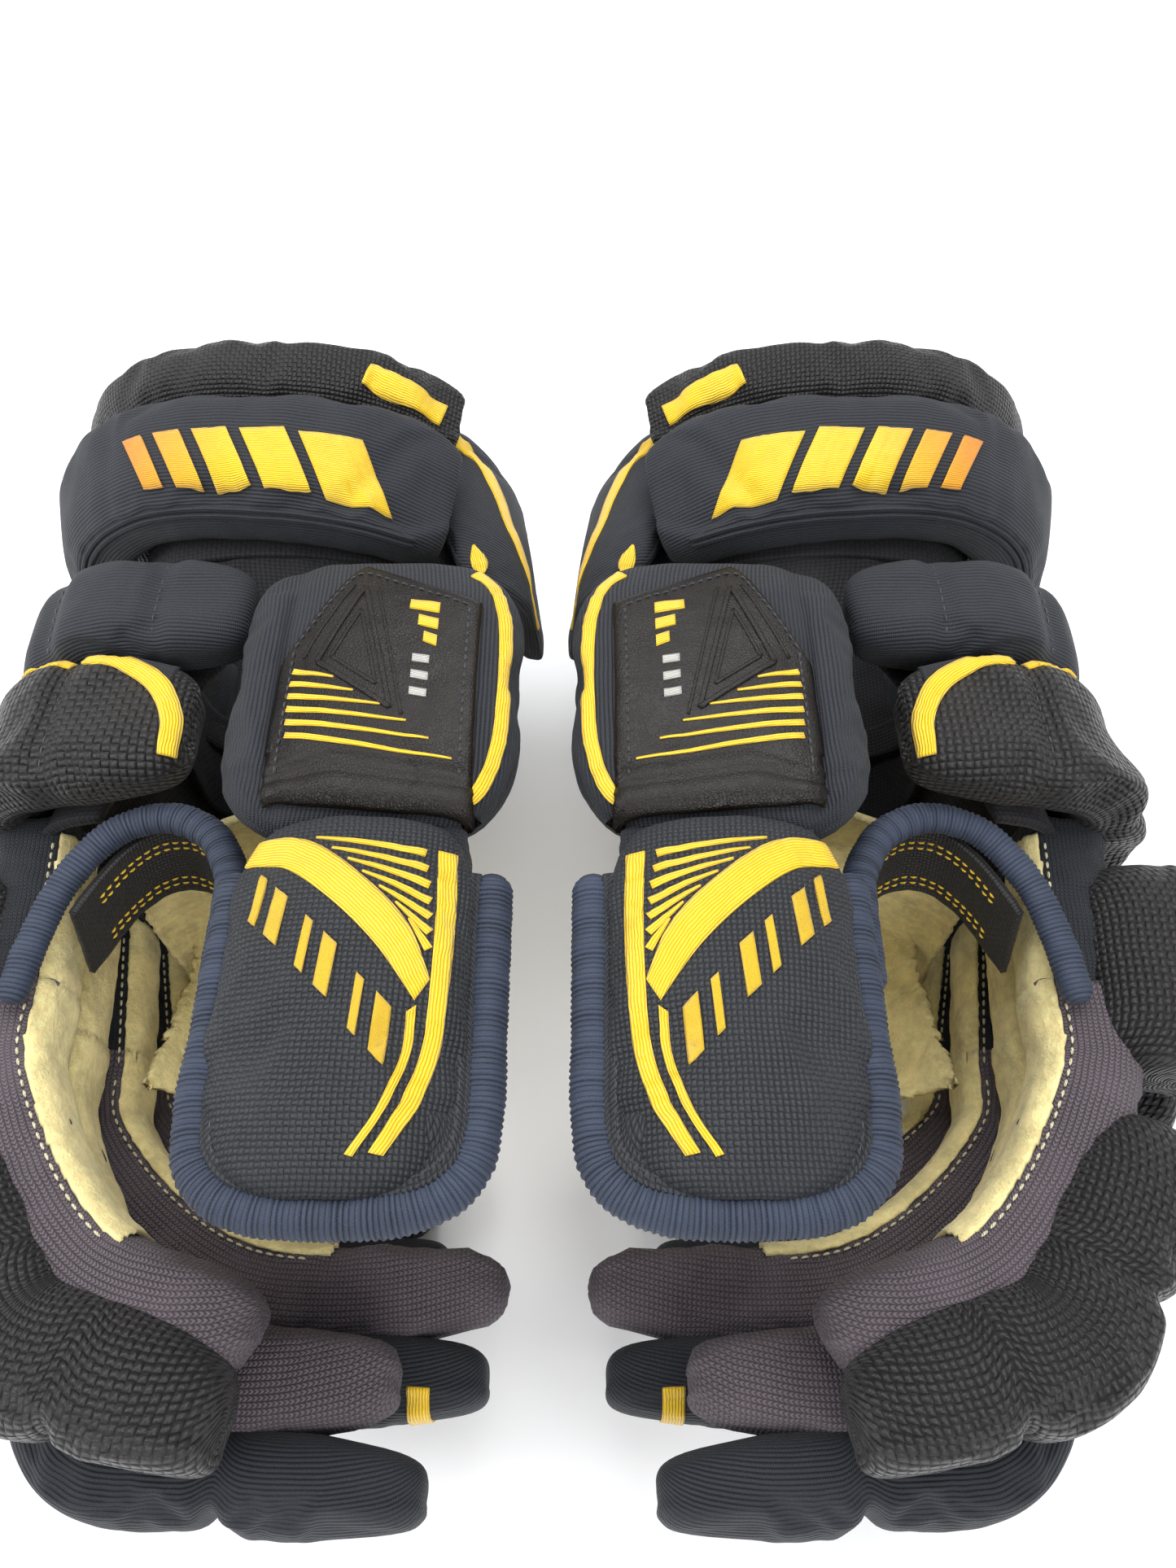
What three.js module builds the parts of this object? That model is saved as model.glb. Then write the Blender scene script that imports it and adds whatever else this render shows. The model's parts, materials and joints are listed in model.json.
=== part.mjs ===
// A pair of ice hockey gloves that stand on their little-finger sides, thumbs up, each hand curled as if
// round a stick. The left glove is modelled at +X and the right glove is its mirror image at -X.
// Millimetres. +Z is up, the fingers point to -Y and the backs of the hands face away from X = 0.
import * as THREE from "three";

// ---- Driving dimensions -------------------------------------------------------------------------
const FIT = 0.6; // air between pieces that are sewn or glued together
const CLOTH = 2.6; // wall of a lined fabric sleeve

const SLEEVE_HALF_WIDTH = 12.9; // finger sleeve, across the fingers
const SLEEVE_HALF_DEPTH = 12.5; // finger sleeve, palm side to back
const FINGER_GAP = 2.2; // between neighbouring fingers
const FINGER_FOOT = 1.7; // air under the little finger
const FINGER_PITCH = 2 * SLEEVE_HALF_WIDTH + FINGER_GAP;
const LOWEST_FINGER = FINGER_FOOT + SLEEVE_HALF_WIDTH; // height of the middle of the little finger
const ROLL_THICK = 20; // foam roll on the back of a finger
const JOINT_GAP_PALM = 10; // sleeve cut back from a joint on the palm side, where the finger closes
const JOINT_GAP_BACK = 2; // and on the back

const LINER_FRONT_Y = 12; // liner's edge at the knuckles
const WRIST_Y = 92; // liner's edge at the wrist
const BACK_X = 138; // outside of the liner on the back of the hand, at the wrist
const KNUCKLE_X = 150; // and at the knuckles
const BACK_BEND_Y = 54; // where the back of the hand starts to widen towards the knuckles
const HEEL_X = 86; // palm at the little-finger side
const HAND_TOP = LOWEST_FINGER + 3 * FINGER_PITCH + SLEEVE_HALF_WIDTH + 7.5; // liner, thumb side
const LINER_WALL = 3;
const LINER_CORNER = 9; // little-finger side
const LINER_TOP_CORNER = 24; // thumb side
const LINER_THUMB_Y = 34; // the liner's thumb side is cut away from here to the front, for the thumb

// Each finger: its place in the row, the knuckle's offset from the liner's front corner on the back of
// the hand, and the bends (degrees from straight ahead) and lengths of its three bones.
const FINGERS = {
  index: { row: 3, knuckle: [-4, -11], bends: [6, 35, 72], lengths: [58, 56, 42] },
  middle: { row: 2, knuckle: [-3, -12], bends: [6, 38, 84], lengths: [62, 71, 67] },
  ring: { row: 1, knuckle: [-6, -11], bends: [10, 50, 88], lengths: [58, 60, 74] },
  little: { row: 0, knuckle: [-10, -8], bends: [14, 58, 95], lengths: [50, 46, 52] },
};

const PALM_WALL = 2.4;
const PALM_FRONT_X = KNUCKLE_X - 2 * SLEEVE_HALF_DEPTH + 1; // palm at the roots of the fingers
const PALM_FRONT_Y = LINER_FRONT_Y - 6;
const PALM_FOOT = 4.5;
const PALM_TOP = HAND_TOP + 12; // beside the ball of the thumb
const THENAR_DEPTH = 62; // how far the palm bulges out at the thumb side
const THENAR_LENGTH = 34; // the palm reaches its full bulge this far from its front
const WEB = { width: 44, height: 20.5, dip: 26, slope: 8 }; // U between thumb and index finger
const WEB_RIGHT = PALM_FRONT_X - 2;
const WEB_CREST = LINER_FRONT_Y - 4;

const KNUCKLE_ROLL_HALF_WIDTH = 22;
const ROLL_HALF_WIDTH = (WRIST_Y - LINER_FRONT_Y) / 2 - KNUCKLE_ROLL_HALF_WIDTH; // back roll near the wrist
const ROLL_OUT = 13; // back roll, outwards from its middle line
const ROLL_IN = 10; // and inwards
const BACK_ROLL_TOP = HAND_TOP + FIT + 1 + ROLL_IN;

const BASE_ROLL = { x: 46, width: 76, start: -9, end: WRIST_Y - 12, top: HAND_TOP + 36, thick: 22 };
const LABEL = { leftMargin: 11, rightMargin: 18, nearMargin: 6, farMargin: 14, thick: 1.6 };
const LABEL_SHOULDER = 28; // how much shorter the label is at its cut corner
const THUMB = { x: BASE_ROLL.x - 3, width: 51, start: BASE_ROLL.start - 4, end: -95, thick: 18 };
const THUMB_TOP = HAND_TOP + 39;
const THUMB_PLATE = { width: 44, thick: 2.6 };
const THUMB_SLEEVE = { halfWidth: 24, halfDepth: 11.5 };
const BINDING_RADIUS = 4.6;

const CUFF_GAP = 5; // between the hand's rolls and the cuff
const CUFF_LENGTH = 46;
const CUFF_FLARE = 16; // degrees that the cuff opens away from the wrist
const CUFF_HALF_THICK = 10.5;
const CUFF_SKEW = 0.12; // the cuff lies further back on the back of the hand than over the thumb
const END_LENGTH = 26;
const END_HALF_THICK = 8;
const END_STEP = -4; // the end roll lies a little inside the cuff roll
const FLAP = { length: 72, halfThick: 6, slant: 0.22 };

// ---- Shape helpers ------------------------------------------------------------------------------
const vec = (x, y, z) => new THREE.Vector3(x, y, z);
const UP = vec(0, 0, 1);
const ALONG = vec(0, 1, 0);
const rad = THREE.MathUtils.degToRad;
const mix = THREE.MathUtils.lerp;
const ease = (value, from, to) => THREE.MathUtils.smoothstep(value, from, to);

// A closed mesh from points and faces, with its faces turned outwards.
function closedMesh(points, faces) {
  let volume = 0;
  for (const [a, b, c] of faces) volume += points[a].dot(points[b].clone().cross(points[c]));
  const turned = volume < 0 ? faces.map(([a, b, c]) => [a, c, b]) : faces;
  const geometry = new THREE.BufferGeometry().setFromPoints(points);
  geometry.setIndex(turned.flat());
  geometry.computeVertexNormals();
  return geometry;
}

// Two triangles for each place between the closed rings that start at indices r and s.
function joinRings(faces, r, s, sides) {
  for (let i = 0; i < sides; i++) {
    const j = (i + 1) % sides;
    faces.push([r + i, r + j, s + j], [r + i, s + j, s + i]);
  }
}

function joinPole(faces, ring, pole, sides, first) {
  for (let i = 0; i < sides; i++) {
    const j = (i + 1) % sides;
    faces.push(first ? [pole, ring + j, ring + i] : [pole, ring + i, ring + j]);
  }
}

// A section between an ellipse (power 2) and a rectangle (large power).
function sectionPoint(angle, halfWidth, above, below, power) {
  const curve = (v) => Math.sign(v) * Math.abs(v) ** (2 / power);
  const across = curve(Math.cos(angle)) * halfWidth;
  const through = curve(Math.sin(angle));
  return [across, through * (through > 0 ? above : below)];
}

// A stuffed pad along a path. outwards(tangent, t) gives the way that its outer face looks.
function pad(shape) {
  const { path, outwards, halfWidth, above, below } = shape;
  const { power = 3, ends = 5, steps = 7, sides = 12, lean = null } = shape;
  const curve = new THREE.CatmullRomCurve3(path, false, "centripetal");
  const points = [];
  const faces = [];
  for (let k = 1; k <= steps; k++) {
    const t = (1 - Math.cos((Math.PI * k) / (steps + 1))) / 2;
    const shrink = (1 - Math.abs(2 * t - 1) ** ends) ** (1 / ends);
    const tangent = curve.getTangentAt(t);
    const out = outwards(tangent, t).clone();
    out.addScaledVector(tangent, -out.dot(tangent)).normalize();
    const across = lean ? lean(t) : tangent.clone().cross(out).normalize();
    const middle = curve.getPointAt(t);
    for (let i = 0; i < sides; i++) {
      const angle = (2 * Math.PI * (i + 0.5)) / sides;
      const [a, b] = sectionPoint(angle, halfWidth * shrink, above * shrink, below * shrink, power);
      points.push(middle.clone().addScaledVector(across, a).addScaledVector(out, b));
    }
    if (k > 1) joinRings(faces, (k - 2) * sides, (k - 1) * sides, sides);
  }
  points.push(curve.getPointAt(0), curve.getPointAt(1));
  joinPole(faces, 0, points.length - 2, sides, true);
  joinPole(faces, (steps - 1) * sides, points.length - 1, sides, false);
  return closedMesh(points, faces);
}

// A sleeve with walls of CLOTH round a list of stations, each with a middle, directions and half sizes.
// It is open at its first station, and at its last one too unless it is closed there.
function sleeve(stations, { closed = false, sides = 12, power = 5 }) {
  const points = [];
  const faces = [];
  const ring = (station, inset) => {
    const first = points.length;
    for (let i = 0; i < sides; i++) {
      const angle = (2 * Math.PI * (i + 0.5)) / sides;
      const half = [station.halfWidth - inset, station.halfDepth - inset];
      const [a, b] = sectionPoint(angle, half[0], half[1], half[1], power);
      const shift = station.slant ? (-b / station.halfDepth) * station.slant : 0;
      points.push(
        station.middle.clone()
          .addScaledVector(station.across, a)
          .addScaledVector(station.out, b)
          .addScaledVector(station.along, shift),
      );
    }
    return first;
  };
  const outer = stations.map((station) => ring(station, 0));
  const inner = stations.map((station) => ring(station, CLOTH));
  for (let k = 1; k < stations.length; k++) {
    joinRings(faces, outer[k - 1], outer[k], sides);
    joinRings(faces, inner[k], inner[k - 1], sides);
  }
  joinRings(faces, inner[0], outer[0], sides);
  const last = stations.at(-1);
  if (closed) {
    points.push(last.middle.clone().addScaledVector(last.along, CLOTH * 1.6), last.middle.clone());
    joinPole(faces, outer.at(-1), points.length - 2, sides, false);
    joinPole(faces, inner.at(-1), points.length - 1, sides, true);
  } else {
    joinRings(faces, outer.at(-1), inner.at(-1), sides);
  }
  return closedMesh(points, faces);
}

// A thin curved sheet. place(u, v) gives its outer face, and the sheet is that thick behind it.
function sheet(place, across, down, thick, flip = 1) {
  const points = [];
  const faces = [];
  const step = 1e-3;
  const behind = (u, v) => {
    const du = place(Math.min(u + step, 1), v).sub(place(Math.max(u - step, 0), v));
    const dv = place(u, Math.min(v + step, 1)).sub(place(u, Math.max(v - step, 0)));
    return place(u, v).addScaledVector(du.cross(dv).normalize(), -thick * flip);
  };
  for (const face of [place, behind])
    for (let j = 0; j <= down; j++)
      for (let i = 0; i <= across; i++) points.push(face(i / across, j / down));
  const row = across + 1;
  const layer = row * (down + 1);
  for (let j = 0; j < down; j++)
    for (let i = 0; i < across; i++) {
      const a = j * row + i;
      faces.push([a, a + 1, a + row + 1], [a, a + row + 1, a + row]);
      const b = a + layer;
      faces.push([b, b + row + 1, b + 1], [b, b + row, b + row + 1]);
    }
  const rim = [];
  for (let i = 0; i < across; i++) rim.push(i);
  for (let j = 0; j < down; j++) rim.push(j * row + across);
  for (let i = across; i > 0; i--) rim.push(down * row + i);
  for (let j = down; j > 0; j--) rim.push(j * row);
  rim.forEach((a, i) => {
    const b = rim[(i + 1) % rim.length];
    faces.push([a, a + layer, b + layer], [a, b + layer, b]);
  });
  return closedMesh(points, faces);
}

// A round cord or piping along a smooth path.
function piping(path, radius, steps) {
  const section = new THREE.Shape();
  section.absarc(0, 0, radius, 0, 2 * Math.PI);
  const extrudePath = new THREE.CatmullRomCurve3(path, false, "centripetal");
  const settings = { steps, extrudePath, bevelEnabled: false, curveSegments: 4 };
  const geometry = new THREE.ExtrudeGeometry(section, settings);
  geometry.deleteAttribute("normal");
  geometry.deleteAttribute("uv");
  return geometry;
}

// ---- Fingers ------------------------------------------------------------------------------------
// The joints and the directions of one finger: places[0] is the knuckle and places[3] the fingertip.
function skeleton({ row, knuckle, bends, lengths }) {
  const height = LOWEST_FINGER + row * FINGER_PITCH;
  const places = [vec(KNUCKLE_X + knuckle[0], LINER_FRONT_Y + knuckle[1], height)];
  const bones = bends.map((bend, i) => {
    const along = vec(-Math.sin(rad(bend)), -Math.cos(rad(bend)), 0);
    const out = vec(Math.cos(rad(bend)), -Math.sin(rad(bend)), 0);
    places.push(places[i].clone().addScaledVector(along, lengths[i]));
    return { along, out, length: lengths[i] };
  });
  return { places, bones };
}

function station(place, bone, shift, slant, half = {}) {
  return {
    middle: place.clone().addScaledVector(bone.along, shift),
    along: bone.along,
    out: bone.out,
    across: UP,
    halfWidth: half.width ?? SLEEVE_HALF_WIDTH,
    halfDepth: half.depth ?? SLEEVE_HALF_DEPTH,
    slant,
  };
}

const JOINT_MIDDLE = (JOINT_GAP_PALM + JOINT_GAP_BACK) / 2;
const JOINT_SLANT = (JOINT_GAP_PALM - JOINT_GAP_BACK) / 2;
const ROLL_MIDDLE = SLEEVE_HALF_DEPTH + FIT + ROLL_THICK / 2;

function baseSleeve({ places, bones }) {
  const [first] = bones;
  return sleeve(
    [
      station(places[0], first, JOINT_MIDDLE, JOINT_SLANT),
      station(places[1], first, -JOINT_MIDDLE, -JOINT_SLANT),
    ],
    {},
  );
}

function tipSleeve({ places, bones }) {
  const [, second, third] = bones;
  const middle = {
    along: second.along.clone().add(third.along).normalize(),
    out: second.out.clone().add(third.out).normalize(),
  };
  return sleeve(
    [
      station(places[1], second, JOINT_MIDDLE, JOINT_SLANT),
      station(places[2], middle, 0, 0),
      station(places[3], third, -12, 0),
      station(places[3], third, -2, 0, { width: SLEEVE_HALF_WIDTH * 0.82, depth: SLEEVE_HALF_DEPTH * 0.74 }),
    ],
    { closed: true },
  );
}

function baseRoll({ places, bones }) {
  const [first] = bones;
  const shifted = (shift) =>
    places[0].clone().addScaledVector(first.along, shift).addScaledVector(first.out, ROLL_MIDDLE);
  return pad({
    path: [shifted(9), shifted(first.length - 1)],
    outwards: () => first.out,
    halfWidth: SLEEVE_HALF_WIDTH,
    above: ROLL_THICK / 2,
    below: ROLL_THICK / 2,
    steps: 6,
  });
}

function tipRoll({ places, bones }) {
  const [, second, third] = bones;
  const corner = second.out.clone().add(third.out).normalize();
  const widened = ROLL_MIDDLE / Math.cos(second.out.angleTo(third.out) / 2);
  return pad({
    path: [
      places[1].clone().addScaledVector(second.along, 3).addScaledVector(second.out, ROLL_MIDDLE),
      places[2].clone().addScaledVector(second.along, -14).addScaledVector(second.out, ROLL_MIDDLE + 1.6),
      places[2].clone().addScaledVector(corner, widened + 0.8),
      places[2].clone().addScaledVector(third.along, 14).addScaledVector(third.out, ROLL_MIDDLE + 1.6),
      places[3].clone().addScaledVector(third.along, 5).addScaledVector(third.out, ROLL_MIDDLE),
    ],
    outwards: (tangent) => tangent.clone().cross(UP).multiplyScalar(-1),
    halfWidth: SLEEVE_HALF_WIDTH,
    above: ROLL_THICK / 2,
    below: ROLL_THICK / 2,
    steps: 8,
  });
}

// ---- Hand ---------------------------------------------------------------------------------------
// Outside of the liner on the back of the hand, which widens towards the knuckles.
function backAt(y) {
  const share = THREE.MathUtils.clamp((y - LINER_FRONT_Y) / (BACK_BEND_Y - LINER_FRONT_Y), 0, 1);
  return mix(KNUCKLE_X, BACK_X, share);
}

// The liner: little-finger side, back and thumb side in one channel, open towards the palm.
function backLiner() {
  const outline = (y) => {
    const back = backAt(y);
    const corner = (radius, middleZ, from) =>
      [0, 30, 60, 90].map((turn) => [
        back - radius + radius * Math.cos(rad(from + turn)),
        middleZ + radius * Math.sin(rad(from + turn)),
      ]);
    const edge = mix(back - LINER_TOP_CORNER - 1, HEEL_X + 6, ease(y, LINER_THUMB_Y, WRIST_Y));
    return [
      [HEEL_X + 4, 0],
      ...corner(LINER_CORNER, LINER_CORNER, -90),
      ...corner(LINER_TOP_CORNER, HAND_TOP - LINER_TOP_CORNER, 0),
      [edge, HAND_TOP],
    ];
  };
  const count = outline(0).length - 1;
  const place = (u, v) => {
    const y = mix(LINER_FRONT_Y, WRIST_Y, v);
    const points = outline(y);
    const at = Math.min(Math.floor(u * count), count - 1);
    const share = u * count - at;
    return vec(mix(points[at][0], points[at + 1][0], share), y, mix(points[at][1], points[at + 1][1], share));
  };
  return sheet(place, count, 4, LINER_WALL, -1);
}

const WEB_TOP = HAND_TOP + 0.5;

// How far out the palm lies at a height, over the heel of the hand.
const heelAt = (z) => HEEL_X - THENAR_DEPTH * (z / PALM_TOP) ** 1.6;
const THENAR_Y = PALM_FRONT_Y + THENAR_LENGTH;

function palm() {
  return sheet((u, v) => {
    const y = mix(PALM_FRONT_Y, WRIST_Y - 2, u);
    const top = mix(WEB_TOP - WEB.height - 2, PALM_TOP, ease(y, LINER_FRONT_Y, THENAR_Y));
    const z = mix(PALM_FOOT, top, v);
    return vec(mix(PALM_FRONT_X, heelAt(z), ease(y, PALM_FRONT_Y, THENAR_Y)), y, z);
  }, 9, 6, PALM_WALL, 1);
}

// The web between thumb and index: a U when seen from above, sloping down to the palm.
function webGusset() {
  return sheet((u, v) => {
    const sag = WEB.dip * Math.abs(2 * u - 1) ** 2.2;
    return vec(WEB_RIGHT - WEB.width * (1 - u), WEB_CREST - sag - WEB.slope * v, WEB_TOP - WEB.height * v);
  }, 8, 2, PALM_WALL, -1);
}

const outOfRoll = (tangent) => tangent.clone().cross(ALONG);

function backRollUpper() {
  const middleY = WRIST_Y - ROLL_HALF_WIDTH;
  const top = BACK_ROLL_TOP;
  const side = BACK_X + FIT + ROLL_IN;
  return pad({
    path: [
      vec(88, middleY, top),
      vec(118, middleY, top),
      vec(side - 8, middleY, top - 7),
      vec(side, middleY, top - 26),
      vec(side, middleY, 70),
      vec(side, middleY, 2),
    ],
    outwards: outOfRoll,
    halfWidth: ROLL_HALF_WIDTH,
    above: ROLL_OUT,
    below: ROLL_IN,
    power: 3.4,
    steps: 11,
    lean: () => ALONG,
  });
}

function backRollLower() {
  const middleY = WRIST_Y - 2 * ROLL_HALF_WIDTH - 2 * FIT - KNUCKLE_ROLL_HALF_WIDTH;
  const tilt = Math.atan2(KNUCKLE_X - BACK_X, BACK_BEND_Y - LINER_FRONT_Y);
  const side = backAt(middleY) + (FIT + ROLL_IN) / Math.cos(tilt) + 0.5;
  const top = BACK_ROLL_TOP;
  const across = vec(-Math.sin(tilt), Math.cos(tilt), 0);
  return pad({
    path: [
      vec(98, middleY, top),
      vec(124, middleY, top),
      vec(side - 9, middleY, top - 7),
      vec(side, middleY, top - 26),
      vec(side, middleY, 70),
      vec(side, middleY, 2),
    ],
    outwards: outOfRoll,
    halfWidth: KNUCKLE_ROLL_HALF_WIDTH,
    above: ROLL_OUT,
    below: ROLL_IN,
    power: 3.4,
    steps: 11,
    lean: (t) => ALONG.clone().lerp(across, ease(t, 0.15, 0.35)),
  });
}

// The roll over the base of the thumb, and its outer face, which the label follows.
const BASE_MIDDLE_Z = BASE_ROLL.top - BASE_ROLL.thick * 0.6;
const BASE_ABOVE = BASE_ROLL.thick * 0.6;
const BASE_BELOW = BASE_ROLL.thick * 0.4;
const BASE_POWER = 4;

function thumbBaseRoll() {
  return pad({
    path: [vec(BASE_ROLL.x, BASE_ROLL.start, BASE_MIDDLE_Z), vec(BASE_ROLL.x, BASE_ROLL.end, BASE_MIDDLE_Z)],
    outwards: () => UP,
    halfWidth: BASE_ROLL.width / 2,
    above: BASE_ABOVE,
    below: BASE_BELOW,
    power: BASE_POWER,
    ends: 4,
    steps: 8,
    sides: 16,
    lean: () => vec(1, 0, 0),
  });
}

function baseRollTop(x, y) {
  const along = (2 * (y - BASE_ROLL.start)) / (BASE_ROLL.end - BASE_ROLL.start) - 1;
  const shrink = (1 - Math.abs(along) ** 4) ** (1 / 4);
  const across = Math.min(1, Math.abs(x - BASE_ROLL.x) / ((BASE_ROLL.width / 2) * shrink));
  return BASE_MIDDLE_Z + BASE_ABOVE * shrink * (1 - across ** BASE_POWER) ** (1 / BASE_POWER);
}

// The moulded label, whose far corner on the outer side is cut off.
function labelPatch() {
  const left = BASE_ROLL.x - BASE_ROLL.width / 2 + LABEL.leftMargin;
  const right = BASE_ROLL.x + BASE_ROLL.width / 2 - LABEL.rightMargin;
  const farthest = BASE_ROLL.end - LABEL.farMargin;
  return sheet((u, v) => {
    const x = mix(left, right, u);
    const far = farthest - LABEL_SHOULDER * (ease(u, 0.5, 1) + 0.35 * (1 - u));
    const y = mix(BASE_ROLL.start + LABEL.nearMargin, far, v);
    return vec(x, y, baseRollTop(x, y) + 2 * FIT + LABEL.thick);
  }, 5, 6, LABEL.thick, 1);
}

// ---- Thumb --------------------------------------------------------------------------------------
const THUMB_PAD_FOOT = THUMB_TOP - THUMB.thick;
const THUMB_PLATE_TOP = THUMB_PAD_FOOT - FIT;
const THUMB_SLEEVE_Z = THUMB_PLATE_TOP - THUMB_PLATE.thick - FIT - THUMB_SLEEVE.halfDepth;
const FORWARD = vec(0, -1, 0);

function thumbPad() {
  return pad({
    path: [
      vec(THUMB.x, THUMB.start, THUMB_PAD_FOOT + THUMB.thick * 0.35),
      vec(THUMB.x, THUMB.end, THUMB_PAD_FOOT + THUMB.thick * 0.35),
    ],
    outwards: () => UP,
    halfWidth: THUMB.width / 2,
    above: THUMB.thick * 0.65,
    below: THUMB.thick * 0.35,
    power: 3.4,
    ends: 3.6,
    steps: 8,
    sides: 16,
    lean: () => vec(1, 0, 0),
  });
}

function thumbPlate() {
  const half = THUMB_PLATE.width / 2;
  const shape = new THREE.Shape();
  const near = THUMB.start - 6;
  const far = THUMB.end + 8;
  shape.moveTo(THUMB.x - half, near);
  shape.lineTo(THUMB.x - half, far + half * 0.6);
  shape.quadraticCurveTo(THUMB.x - half, far, THUMB.x, far);
  shape.quadraticCurveTo(THUMB.x + half, far, THUMB.x + half, far + half * 0.6);
  shape.lineTo(THUMB.x + half, near);
  shape.closePath();
  const settings = { depth: THUMB_PLATE.thick, bevelEnabled: false, curveSegments: 5 };
  const geometry = new THREE.ExtrudeGeometry(shape, settings);
  geometry.deleteAttribute("normal");
  geometry.deleteAttribute("uv");
  return geometry.translate(0, 0, THUMB_PLATE_TOP - THUMB_PLATE.thick);
}

function thumbSleeve() {
  const half = { width: THUMB_SLEEVE.halfWidth, depth: THUMB_SLEEVE.halfDepth };
  const along = { along: FORWARD, out: UP };
  const at = (y, size) => ({
    ...station(vec(THUMB.x, y, THUMB_SLEEVE_Z), along, 0, 0, size),
    across: vec(1, 0, 0),
  });
  return sleeve(
    [
      at(THUMB.start - 3, half),
      at(THUMB.end + 16, half),
      at(THUMB.end + 6, { width: half.width * 0.85, depth: half.depth * 0.8 }),
    ],
    { closed: true },
  );
}

function thumbBinding() {
  const reach = THUMB.width / 2 + BINDING_RADIUS + FIT;
  const height = THUMB_PAD_FOOT + BINDING_RADIUS;
  const path = [vec(THUMB.x + reach, THUMB.start - 7, height)];
  const round = THUMB.width / 2;
  const turn = THUMB.end + round * 0.62;
  path.push(vec(THUMB.x + reach, turn + 20, height));
  for (let i = 0; i <= 8; i++) {
    const angle = (Math.PI * i) / 8;
    const square = (v) => Math.sign(v) * Math.abs(v) ** 0.7;
    path.push(
      vec(
        THUMB.x + reach * square(Math.cos(angle)),
        turn - (turn - THUMB.end + BINDING_RADIUS + FIT) * square(Math.sin(angle)),
        height,
      ),
    );
  }
  path.push(vec(THUMB.x - reach, turn + 20, height));
  path.push(vec(THUMB.x - reach, THUMB.start - 7, height));
  return piping(path, BINDING_RADIUS, 30);
}

// ---- Cuff ---------------------------------------------------------------------------------------
// The cuff's middle line round the wrist, from over the thumb side and down the back to the other side.
const CUFF_RING = [
  [36, HAND_TOP + 9],
  [60, HAND_TOP + 18],
  [92, HAND_TOP + 20],
  [BACK_X - 12, HAND_TOP + 14],
  [BACK_X + 10, HAND_TOP - 4],
  [BACK_X + 18, HAND_TOP - 34],
  [BACK_X + 18, 48],
  [BACK_X + 12, 21],
  [BACK_X - 6, 12.5],
];
const CUFF_CENTRE = [98, HAND_TOP - 49];

function cuffRing(y, grow) {
  return CUFF_RING.map(([x, z]) => {
    const out = new THREE.Vector2(x - CUFF_CENTRE[0], z - CUFF_CENTRE[1]).normalize();
    const lift = z > 40 ? grow : 0; // it rests on its lower side, which doesn't flare
    return vec(x + out.x * grow, y + (x - CUFF_RING[0][0]) * CUFF_SKEW, z + out.y * lift);
  });
}

function cuffBand(startY, length, halfThick, extra) {
  const flare = Math.tan(rad(CUFF_FLARE));
  const grow = (length / 2 + startY - WRIST_Y) * flare * 0.5 + extra;
  const wide = (tangent) => {
    const out = outOfRoll(tangent).normalize();
    return ALONG.clone().addScaledVector(out, out.z < -0.5 ? 0 : flare).normalize();
  };
  const path = cuffRing(startY + length / 2, grow);
  const curve = new THREE.CatmullRomCurve3(path, false, "centripetal");
  return pad({
    path,
    outwards: outOfRoll,
    halfWidth: length / 2,
    above: halfThick,
    below: halfThick,
    power: 3,
    ends: 9,
    steps: 14,
    lean: (t) => wide(curve.getTangentAt(t)),
  });
}

const cuffRoll = () => cuffBand(WRIST_Y + CUFF_GAP, CUFF_LENGTH, CUFF_HALF_THICK, 0);
const END_START = WRIST_Y + CUFF_GAP + CUFF_LENGTH + 2;
const cuffEndRoll = () => cuffBand(END_START, END_LENGTH, END_HALF_THICK, END_STEP);

// The flap beside the cuff roll, over the palm side of the wrist.
function cuffFlap() {
  const middleY = WRIST_Y + CUFF_GAP + FLAP.length / 2;
  return pad({
    path: [
      vec(32, middleY, HAND_TOP + 7),
      vec(22, middleY, HAND_TOP),
      vec(16, middleY, HAND_TOP - 18),
      vec(15, middleY, HAND_TOP - 41),
    ],
    outwards: (tangent) => outOfRoll(tangent).negate(),
    halfWidth: FLAP.length / 2,
    above: FLAP.halfThick,
    below: FLAP.halfThick,
    power: 3.4,
    ends: 6,
    steps: 7,
    lean: () => vec(FLAP.slant, 1, 0).normalize(),
  });
}

// ---- Colours ------------------------------------------------------------------------------------
const finish = (color, roughness) => new THREE.MeshStandardMaterial({ color, roughness, metalness: 0 });
const NAVY = finish(0x2b3340, 0.8);
const BLACK_MESH = finish(0x1c1e22, 0.85);
const GUSSET = finish(0x312c38, 0.85);
const SUEDE = finish(0xc9b27a, 0.95);
const RIBBON = finish(0x3a4660, 0.8);
const MOULDED = finish(0x35302f, 0.5);
const PLASTIC = finish(0x22262c, 0.4);
const LINING = finish(0x24262b, 0.95);

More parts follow.
